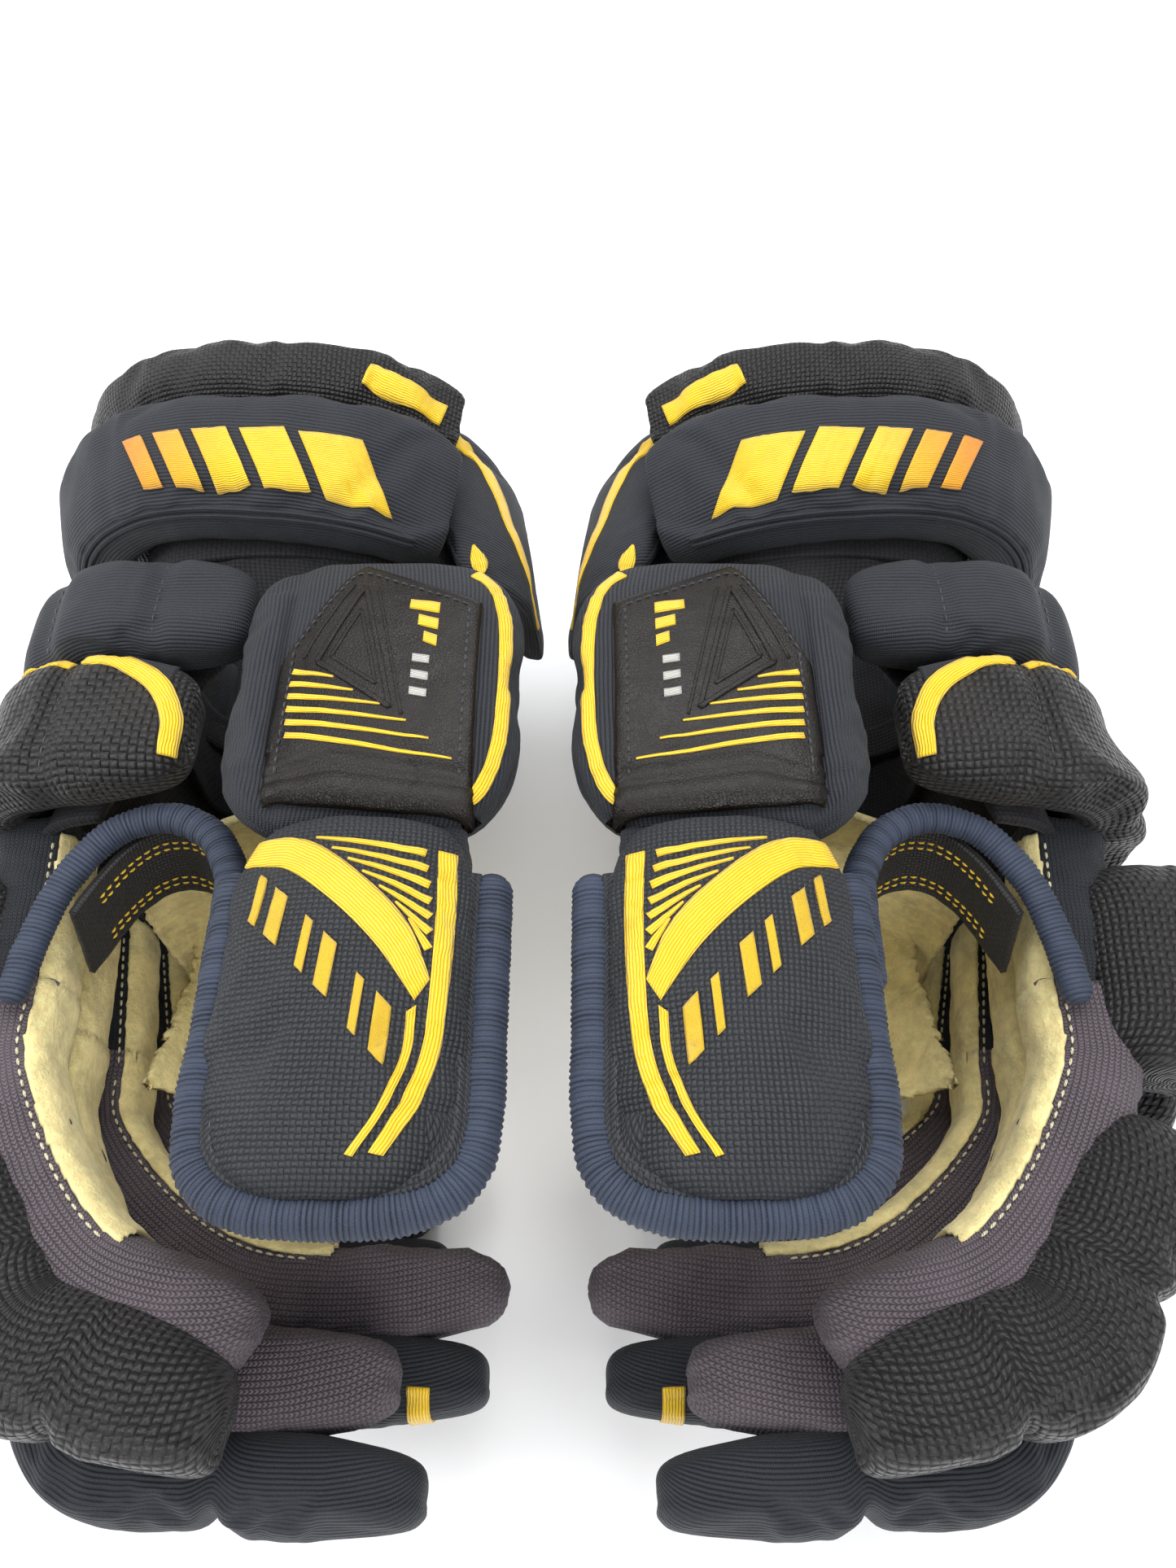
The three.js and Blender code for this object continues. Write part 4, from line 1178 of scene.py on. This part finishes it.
class GLOVES_OT_hand(Maker, bpy.types.Operator):
    """Make the liner, the suede palm and the web between thumb and index finger"""

    bl_idname = "gloves.hand"
    bl_label = "Hand"

    def execute(self, context):
        liner = shell(liner_surface, 90, 40, -3.0).crumpled(0.3, 9, 2)
        fit("back_liner", liner, "lining", "hand", ["back_liner"])
        palm = shell(palm_surface, 64, 90, 2.2, ragged=0.012).crumpled(0.7, 10, 5)
        fit("palm", palm, "palm_suede", "hand", ["palm"])
        web = shell(web_surface, 60, 26, -2.2).crumpled(0.4, 7, 9)
        fit("web_gusset", web, "web_cloth", "hand", ["web_gusset"])

        def fold_surface(u, v):
            x = 56.0 + 64.0 * u
            y = 26.0 - 70.0 * v
            rise = np.where(u > 0.5, 14.0, 26.0) * np.abs(2 * u - 1) ** 3 + 20.0 * v**3
            return np.stack([x, y, 26.0 + (rise + 2.2 * np.sin(x / 5.0 + y / 9.0))], -1)

        fold = shell(fold_surface, 60, 70, 2.0, ragged=0.03, seed=3).crumpled(1.8, 15, 13)
        fit("palm_fold", fold, "palm_suede", "hand")
        tree = web.tree()
        inward = np.array([0, -1.0, 0.25])
        rows = [
            stitches(tree, web_line((0.08, 0.92), drop), inward, pitch=2.6, length=1.9, radius=0.32)
            for drop in (0.2, 0.29, 0.78, 0.87)
        ]
        fit("web_stitches", Form.joined(rows), "yellow_thread", "hand")
        over = [
            (81, -14, 128.6), (83.5, -7, 126.6), (91, 4, 124), (103, 9.5, 123),
            (117, 6, 122), (127.5, -6, 120), (133, -20, 118), (136.5, -42, 116.5),
        ]
        binding = tube(over, 4.4, 14, 0.05, self.sizes.ribbon_rib / MM, 0.86)
        fit("web_binding", binding.crumpled(0.25, 6, 3), "ribbon", "hand")
        beside = [(79.0, -46, 133), (79.6, -28, 131.5), (81.6, -12, 128), (84, -6, 126.2)]
        leg = tube(beside, 4.4, 14, 0.05, self.sizes.ribbon_rib / MM, 0.86)
        fit("web_binding_leg", leg.crumpled(0.25, 6, 4), "ribbon", "hand",
            blend=("thumb", (80, -9, 128), (80, -22, 128)))
        return {"FINISHED"}


class GLOVES_OT_back(Maker, bpy.types.Operator):
    """Fit the two rolls on the back of the hand, and their tapes"""

    bl_idname = "gloves.back"
    bl_label = "Back of the hand"

    def execute(self, context):
        pad("back_roll_upper", "navy_cloth", "hand")
        pad("back_roll_lower", "black_mesh", "hand")
        tree = TREES["back_roll_lower"]
        rim = smooth(on_top([(104, 26), (106, 34), (112, 42), (123, 49.5), (137, 53.5)]), 50)
        far = smooth(on_top([(104, 50.5), (108, 51.5), (115, 52.5), (126, 53), (138, 54)]), 50)
        fit("back_panel", band(tree, rim, far, UP, 0.35, 14), "navy_cloth", "hand")
        near = smooth(on_top([(103.5, 19), (104.5, 30), (110, 39.5), (119.5, 46), (130, 48.5)]), 60)
        wide = np.interp(np.linspace(0, 1, 60), [0, 0.25, 0.5, 0.8, 1], [4.2, 5.4, 6.2, 4.6, 2.4])
        edge = band(tree, near, offset_line(near, wide, UP), UP, 0.75, 5)
        side = smooth(on_top([(135, 49.5), (142, 50.5), (149.5, 49)]), 24)
        more = band(tree, side, offset_line(side, 3.6, UP), UP, 0.7, 5)
        fit("back_tape", Form.joined([edge, more]), "yellow_tape", "hand")
        rows = []
        for name in ("back_roll_upper", "back_roll_lower"):
            for seam in ROLLS[name].seams:
                line, out = on_roll(name, np.full(14, seam[1]), np.linspace(0.36, 0.64, 14), 40)
                rows.append(stitches(TREES[name], line[2:-2], out[20], pitch=3.4, length=2.4, radius=0.3))
        fit("back_stitches", Form.joined(rows), "navy_thread", "hand")
        return {"FINISHED"}


# ---- The thumb ----------------------------------------------------------------------------------
def thumb_x(x):
    """Places across the thumb, fitted to the width of its pad."""
    return 18.2 + (x - 13.0) * 0.86


def thumb_line(points):
    """A level line above the thumb."""
    return on_top([(thumb_x(x), y) for x, y in points])


def binding_line():
    """The line of the piping round the thumb."""
    reach = THUMB_HALF + BINDING_RADIUS + FIT
    height = PAD_FOOT + BINDING_RADIUS
    turn = THUMB_END + THUMB_HALF * 0.62
    line = [(THUMB_X + reach, THUMB_START - 7, height), (THUMB_X + reach, turn + 20, height)]
    bend = lambda value: math.copysign(abs(value) ** 0.7, value)
    for i in range(9):
        a = math.pi * i / 8
        depth = turn - THUMB_END + BINDING_RADIUS + FIT
        line.append((THUMB_X + reach * bend(math.cos(a)), turn - depth * bend(math.sin(a)), height))
    return line + [(THUMB_X - reach, turn + 20, height), (THUMB_X - reach, THUMB_START - 7, height)]


class GLOVES_OT_thumb(Maker, bpy.types.Operator):
    """Make the thumb: pad, stripes, marks, stall and ribbed binding"""

    bl_idname = "gloves.thumb"
    bl_label = "Thumb"

    def execute(self, context):
        pad("thumb_pad", "thumb_nylon", "thumb")
        tree = TREES["thumb_pad"]
        upper = smooth(thumb_line([(72, -15.5), (57, -17), (41, -27), (26, -40.5), (19.5, -53)]), 70)
        lower = smooth(thumb_line([(74, -22), (62, -25), (48.4, -33.5), (34.6, -45), (23, -58)]), 70)
        tapes = [band(tree, upper, lower, UP, 0.4, 7)]
        outer = [(15.4, -19), (14.6, -34), (14.8, -51), (16, -66), (20.4, -80), (28, -90.5)]
        outer = smooth(thumb_line(outer), 70)
        inner = [(20.4, -19), (19.4, -34), (19.3, -51), (20.4, -66), (24.6, -79.5), (31.5, -90)]
        inner = smooth(thumb_line(inner), 70)
        tapes.append(band(tree, outer, inner, UP, 0.4, 5))
        second = smooth(thumb_line([(22.4, -59), (23.3, -69), (27.7, -81), (35, -91)]), 60)
        thin = smooth(thumb_line([(24.8, -60.5), (25.6, -69.5), (30, -81.5), (37, -90.5)]), 60)
        tapes.append(band(tree, second, thin, UP, 0.4, 4))
        for ends in (
            [(23.4, -20.5), (54, -16.4)], [(22.5, -25), (49, -19.8)], [(21.6, -29.4), (44, -23.3)],
            [(21, -33.6), (39.5, -27)], [(20.6, -37.8), (34.5, -31)], [(20.4, -42), (29.8, -35)],
            [(20.4, -46), (26, -39)],
        ):
            line = even(thumb_line(ends), 24)
            tapes.append(strip(tree, line, np.linspace(2.0, 0.5, 24), UP, 0.4, 4))
        fit("thumb_stripes", Form.joined(tapes), "yellow_tape", "thumb")
        marks = []
        for x, y in ((28.5, -66), (43.5, -52), (58.5, -39.5)):
            for shift, wide in ((0, 5.4), (7.6, 3.0)):
                a = np.array([thumb_x(x) + shift * 0.8, y + shift * 0.75])
                along, rise = np.array([0.6, 0.56]) * wide, np.array([0.9, -12.5])
                corners = [a, a + along, a + along + rise, a + rise]
                marks.append(bar(tree, [(px, py + 6) for px, py in corners], 0.55, 6, 12))
        fit("thumb_marks", Form.joined(marks), "yellow_thread", "thumb")
        binding = tube(binding_line(), BINDING_RADIUS + 0.5, 16, 0.05, self.sizes.ribbon_rib / MM)
        binding.crumpled(0.3, 7, 8)
        fit("thumb_binding", binding, "ribbon", "thumb", ["thumb_binding"])
        stall = Roll(
            [(THUMB_X, 12, 119.5), (THUMB_X, -16, 124), (THUMB_X, THUMB_END + 1, 124)],
            straight_up, 24, 12.2, 11.5, 3.4, 4.5, level,
        )
        cover = stall.form(2.2).outwards().crumpled(0.9, 12, 4)
        fit("thumb_sleeve", cover, "gusset_knit", "hand", ["thumb_sleeve"],
            blend=("thumb", (THUMB_X, -4, 124), (THUMB_X, -20, 124)))
        ring = Path(binding_line())

        def skirt(u, v):
            line = ring.at(0.01 + 0.98 * u)
            x, y, z = line[..., 0], line[..., 1], line[..., 2]
            middle = np.stack([x * 0 + THUMB_X, np.clip(y, THUMB_END + THUMB_HALF, 0), z], -1)
            rise = 1.2 + 3.0 * v**2 + 0.4 * np.sin(v * 9)
            return line + unit(middle - line) * (3.4 + v * 9.0)[..., None] + UP * rise[..., None]

        flange = shell(skirt, 170, 12, 3.4)
        fit("thumb_edge_ribbon", flange, "thumb_nylon", "thumb")
        u = np.linspace(0.04, 0.96, 120)
        thread = stitches(flange.tree(), skirt(u, np.full(120, 0.16)), UP, 2.8, 2.0, 0.32)
        fit("thumb_edge_stitches", thread, "navy_thread", "thumb")
        root = Roll([(52, 8, 123), (52, 80, 123)], straight_up, 36, 9, 9, 3, 4, level)
        under = root.form(2.6).outwards().crumpled(0.8, 11, 15)
        fit("thumb_root", under, "navy_knit", "hand")
        for side in SIDES:
            node = frame["nodes"][f"{side}_thumb_plate"]
            node.data.materials.clear()
            node.data.materials.append(FINISHES["plastic"])
        crease = Roll(
            [(THUMB_X - 24, -11, 143.5), (THUMB_X + 24, -11, 143.5)],
            straight_up, 7.5, 4.5, 6, 2.4, 6,
            lambda u, tangent: np.broadcast_to(-ALONG, tangent.shape),
        )
        fold = crease.form(1.6).outwards().crumpled(0.5, 6, 6)
        fit("thumb_crease", fold, "navy_knit", "hand",
            blend=("thumb", (THUMB_X, -7, 143), (THUMB_X, -16, 143)))
        return {"FINISHED"}


LABEL_SIZE = (52.0, 62.0)


def label_place(u, v):
    """Where the label's corners and inside fall on the thumb base."""
    x = 18.0 + LABEL_SIZE[0] * u
    far = np.interp(u, [0, 0.64, 0.68, 1], [58.5, 75.0, 73.0, 38.0])
    near = -7.0 + 3.4 * u
    return x, near + (far - near) * v


class GLOVES_OT_thumb_base(Maker, bpy.types.Operator):
    """Make the roll over the base of the thumb, and the moulded label on it"""

    bl_idname = "gloves.thumb_base"
    bl_label = "Thumb base and label"

    def execute(self, context):
        pad("thumb_base_roll", "navy_cloth", "hand")
        tree = TREES["thumb_base_roll"]
        u = np.array([0.93, 0.88, 0.75, 0.4, 0.16, 0.085, 0.06, 0.055])
        v = np.array([0.615, 0.638, 0.648, 0.65, 0.648, 0.638, 0.61, 0.565])
        line, out = on_roll("thumb_base_roll", u, v, 130)
        fit("base_tape", strip(tree, line, 3.8, out, 0.6, 5), "yellow_tape", "hand")
        u, v = np.meshgrid(np.linspace(0, 1, 52), np.linspace(0, 1, 74))
        x, y = label_place(u, v)
        found, normal = drape(tree, np.stack([x, y, np.full_like(x, OVERHEAD)], -1), UP)
        across, along = u * LABEL_SIZE[0], v * LABEL_SIZE[1]
        edge = np.minimum.reduce([across, LABEL_SIZE[0] - across, along, LABEL_SIZE[1] - along])
        thick = 1.9 * np.clip(edge / 1.4, 0.35, 1) ** 0.5
        ridge = lambda height, middle, wide: height * np.exp(-(((along - middle) / wide) ** 2))
        groove = ridge(0.7, 7.5, 0.9) + ridge(0.6, 10, 0.8)
        face = found + normal * (thick + ridge(1.4, 3.6, 3.2) - groove)[..., None]
        label = shell(lambda a, b: face, 52, 74, 2.2)
        fit("label_patch", label, "label_leather", "hand", ["label_patch"])
        ground = label.tree()
        ridges = []
        triangle = [(50.0, 64), (60.0, 37), (39.5, 21.5), (50.0, 64)]
        for ends in zip(triangle, triangle[1:]):
            ridges.append(straight_strip(ground, ends, 1.3, 0.55, 24, 5))
        inner = [(50.2, 55), (56.4, 38.5), (43.8, 29.0), (50.2, 55)]
        for ends in zip(inner, inner[1:]):
            ridges.append(straight_strip(ground, ends, 0.9, 0.35, 20, 4))
        for ends in ([(46.6, 64), (36.4, 19.5)], [(53.2, 65), (64.0, 39)]):
            ridges.append(straight_strip(ground, ends, 0.8, 0.35, 24, 4))
        fit("label_ridges", Form.joined(ridges), "label_leather", "hand")
        bars = []
        for ends in (
            [(55, 31.5), (66.2, 34.6)], [(49.4, 27), (66.4, 30.4)], [(42, 22.5), (66.4, 26.3)],
            [(35, 17.5), (66.2, 22.2)], [(29, 12.4), (66, 18.2)], [(23, 7.0), (65.6, 14.2)],
        ):
            bars.append(straight_strip(ground, ends, np.linspace(0.5, 1.7, 20), 0.35, 20, 4))
        for i, long in enumerate((9.0, 6.0, 4.0)):
            y = 57 - i * 6.0
            corners = [(29, y), (29 + long * 0.9, y + 1.6), (29 + long * 0.9, y - 2.0), (29, y - 3.6)]
            bars.append(bar(ground, corners, count=8))
        fit("label_stripes", Form.joined(bars), "yellow_tape", "hand")
        pale = []
        for i in range(3):
            y = 38 - i * 5.4
            pale.append(bar(ground, [(30.5, y), (35.0, y + 0.8), (35.0, y - 1.6), (30.5, y - 2.4)]))
        fit("label_pale_bars", Form.joined(pale), "white_mark", "hand")
        border = []
        for lines in (
            [label_place(0.06, t) for t in np.linspace(0.14, 0.94, 12)],
            [label_place(t, 0.95) for t in np.linspace(0.06, 0.94, 14)],
            [label_place(0.94, t) for t in np.linspace(0.94, 0.14, 12)],
        ):
            line = on_top([(float(a), float(b)) for a, b in lines])
            border.append(stitches(ground, line, UP, pitch=2.7, length=1.9, radius=0.3, sink=0.05))
        fit("label_stitches", Form.joined(border), "navy_thread", "hand")
        return {"FINISHED"}


# ---- The fingers --------------------------------------------------------------------------------
def stall(finger, part):
    """The cloth round a finger: its first bone from inside the hand, or the rest up to the closed tip."""
    places, along, _, lengths = bones(finger)
    border = places[0] + along[0] * lengths[0] * 0.62
    if part == "base":
        path = [places[0] - along[0] * 16, places[0], border, border + along[0] * 5]
        half, open_ends = 12.3, True
    else:
        end = places[3] + along[2] * (-6.0 if finger == "middle" else 2.5)
        path = [border - along[0] * 2, places[1], places[2], end]
        half, open_ends = 12.9, "start"
    return Roll(path, finger_back, half, half - 0.2, half - 0.2, 3.2, 4, None, (), open_ends)


class GLOVES_OT_fingers(Maker, bpy.types.Operator):
    """Make the four fingers: padded rolls on their backs, knit stalls and suede inside"""

    bl_idname = "gloves.fingers"
    bl_label = "Fingers"

    def execute(self, context):
        for number, finger in enumerate(FINGERS):
            places, along, _, _ = bones(finger)
            cover, slot = ("black_mesh",) * 2 if finger == "index" else ("navy_cloth", "navy_fabric")
            pad(f"{finger}_base_roll", "black_mesh", f"{finger}_base")
            pad(f"{finger}_tip_roll", cover, f"{finger}_tip")
            knuckle = (places[0] - along[0] * 10, places[0] + along[0] * 10)
            joint = (places[1] - along[0] * 10, places[1] + along[1] * 10)
            for part, cloth, body, other, ends in (
                ("base", "navy_knit", "hand", f"{finger}_base", knuckle),
                ("tip", "gusset_knit", f"{finger}_base", f"{finger}_tip", joint),
            ):
                roll = stall(finger, part)
                sleeve = roll.form(1.9).outwards().crumpled(1.3, 9, number + 11, (1, 1.8, 1))
                name = f"{finger}_{part}_sleeve"
                fit(name, sleeve, cloth, body, [name], blend=(other, *ends))
                low, high = (0.1, 1.0) if part == "base" else (0.0, 0.7)

                def inside(u, v, roll=roll, low=low, high=high):
                    return roll.at(low + (high - low) * u, -0.2 + 0.36 * v, 1.0)

                piece = shell(inside, 40, 26, 1.2, ragged=0.03, seed=number + 5).crumpled(0.5, 6, number + 2)
                fit(f"{finger}_{part}_suede", piece, "palm_suede", body, blend=(other, *ends))
                u = np.linspace(low + 0.05, high - 0.04, 30)
                line = roll.at(u, np.full(30, 0.185), 0.7)
                out = roll.normal(u, np.full(30, 0.185))
                row = stitches(None, line, out[15], pitch=3.0, length=2.1, radius=0.38)
                fit(f"{finger}_{part}_stitches", row, "pale_thread", body, blend=(other, *ends))
        for finger in ("ring", "little"):
            name = f"{finger}_tip_roll"
            line, out = on_roll(name, np.full(9, 0.86), np.linspace(0.27, 0.7, 9), 40)
            row = band(TREES[name], line, line + bones(finger)[1][2] * 6.0, out, 0.5, 6)
            fit(f"{finger}_trim", row, "yellow_tape", f"{finger}_tip")
        return {"FINISHED"}


# ---- The cuff -----------------------------------------------------------------------------------
LINING_LOOP = (
    (28, 108), (42, 118), (66, 125), (95, 127), (122, 121), (136, 107), (140.5, 82), (140.5, 46),
    (138, 24), (124, 12), (100, 9), (72, 22), (44, 46), (27, 76), (24, 98), (27.5, 106),
)
HAND_LOOP = (
    (36, 104), (48, 111), (68, 116), (95, 116), (116, 115), (130, 104), (134, 80), (134, 46),
    (133, 16), (122, 5), (100, 4.5), (86, 20), (72, 48), (50, 78), (38, 92), (35.6, 101),
)


def loop_surface(first, second, y0, y1, bulge=0.0):
    """A sleeve of cloth from one ring round the wrist to another."""
    a, b = Path([(x, 0, z) for x, z in first]), Path([(x, 0, z) for x, z in second])

    def surface(u, v):
        t = v[..., None]
        point = a.at(u) * (1 - t) + b.at(u) * t
        out = unit(point - np.array([98.0, 0, 70]))
        point = point + out * (bulge * np.sin(np.pi * v))[..., None]
        point[..., 1] = y0 + (y1 - y0) * v + (point[..., 0] - 36) * CUFF_SLANT * v
        return point

    return surface


class GLOVES_OT_cuff(Maker, bpy.types.Operator):
    """Make the cuff: rolls, flap, lining and the slanted marks on it"""

    bl_idname = "gloves.cuff"
    bl_label = "Cuff"

    def execute(self, context):
        pad("cuff_roll", "navy_cloth", "cuff")
        pad("cuff_end_roll", "cuff_mesh", "cuff")
        pad("cuff_flap", "navy_cloth", "cuff")
        wide = [(x + (x - 98) * 0.07, z + (z - 70) * 0.07 if z > 60 else z) for x, z in LINING_LOOP]
        lining = shell(loop_surface(LINING_LOOP, wide, 104.0, 164.0), 150, 44, 2.0)
        fit("cuff_lining", lining.crumpled(0.8, 13, 7), "lining", "cuff")
        wrist = shell(loop_surface(HAND_LOOP, LINING_LOOP, 78.0, 108.0, 1.5), 150, 20, 2.0)
        fit("wrist_band", wrist.crumpled(0.8, 9, 6), "lining", "hand",
            blend=("cuff", (98, 86, 70), (98, 104, 70)))
        tree = TREES["cuff_roll"]
        marks = []
        x = 49.0
        for width in (19.0, 14.0, 11.0, 8.5, 6.5):
            low, high = 106.5 + (x - 49) * 0.1, 126.0 + (x - 49) * 0.07
            corners = [(x, low), (x + width, low + 0.9), (x + width + 9, high + 0.5), (x + 9, high)]
            marks.append(bar(tree, corners, 0.8, 16, 12))
            x += width + 4.2
        fit("cuff_marks", Form.joined(marks), "cuff_mark", "cuff")
        edge = []
        for v in (0.672, 0.7):
            line, out = on_roll("cuff_roll", np.linspace(0.04, 0.96, 20), np.full(20, v), 140)
            found, normal = drape(tree, line, out)
            edge.append(tube(found + normal * 0.2, 0.9, sides=8))
        fit("cuff_piping", Form.joined(edge), "navy_cloth", "cuff")
        u = np.linspace(0.07, 0.66, 40)
        v = np.interp(u, [0.07, 0.66], [0.35, 0.7])
        line, out = on_roll("cuff_flap", u, v, 60)
        span = np.interp(np.linspace(0, 1, 60), [0, 0.1, 1], [8.0, 6.5, 2.0])
        fit("flap_tape", strip(TREES["cuff_flap"], line, span, out), "yellow_tape", "cuff")
        cross = smooth(on_top([(38, 152), (48, 153.5), (62, 157)]), 30)
        top = band(TREES["cuff_end_roll"], cross, cross + [-2.5, 7.0, 0], UP, 0.6, 5)
        fit("cuff_end_tape", top, "yellow_tape", "cuff")
        leaf, out = on_roll("cuff_flap", np.linspace(0.13, 0.1, 5), np.linspace(0.72, 0.6, 5), 30)
        span = 0.8 + 4.4 * np.sin(np.pi * np.linspace(0.1, 1, 30))
        fit("cuff_leaf", strip(TREES["cuff_flap"], leaf, span, out, 0.7), "yellow_tape", "cuff")
        return {"FINISHED"}


class GLOVES_PT_panel(bpy.types.Panel):
    """Steps, colours and sizes of the pair of gloves"""

    bl_label = "Ice hockey gloves"
    bl_idname = "GLOVES_PT_panel"
    bl_space_type = "VIEW_3D"
    bl_region_type = "UI"
    bl_category = "Gloves"

    def draw(self, context):
        layout = self.layout
        for operator in OPERATORS:
            layout.operator(operator.bl_idname)
        for group in (context.scene.glove_colours, context.scene.glove_sizes):
            box = layout.box()
            for name in group.bl_rna.properties.keys():
                if name not in ("rna_type", "name"):
                    box.prop(group, name)


OPERATORS = (
    GLOVES_OT_finishes,
    GLOVES_OT_stage,
    GLOVES_OT_stuffing,
    GLOVES_OT_hand,
    GLOVES_OT_back,
    GLOVES_OT_thumb,
    GLOVES_OT_thumb_base,
    GLOVES_OT_fingers,
    GLOVES_OT_cuff,
)
CLASSES = (GLOVES_PG_colours, GLOVES_PG_sizes) + OPERATORS + (GLOVES_PT_panel,)


def register():
    for item in CLASSES:
        bpy.utils.register_class(item)
    bpy.types.Scene.glove_colours = bpy.props.PointerProperty(type=GLOVES_PG_colours)
    bpy.types.Scene.glove_sizes = bpy.props.PointerProperty(type=GLOVES_PG_sizes)


def unregister():
    del bpy.types.Scene.glove_sizes
    del bpy.types.Scene.glove_colours
    for item in reversed(CLASSES):
        bpy.utils.unregister_class(item)


def main():
    register()
    for operator in OPERATORS:
        step = operator.bl_idname.split(".")[1]
        getattr(bpy.ops.gloves, step)()


if __name__ == "__main__":
    main()
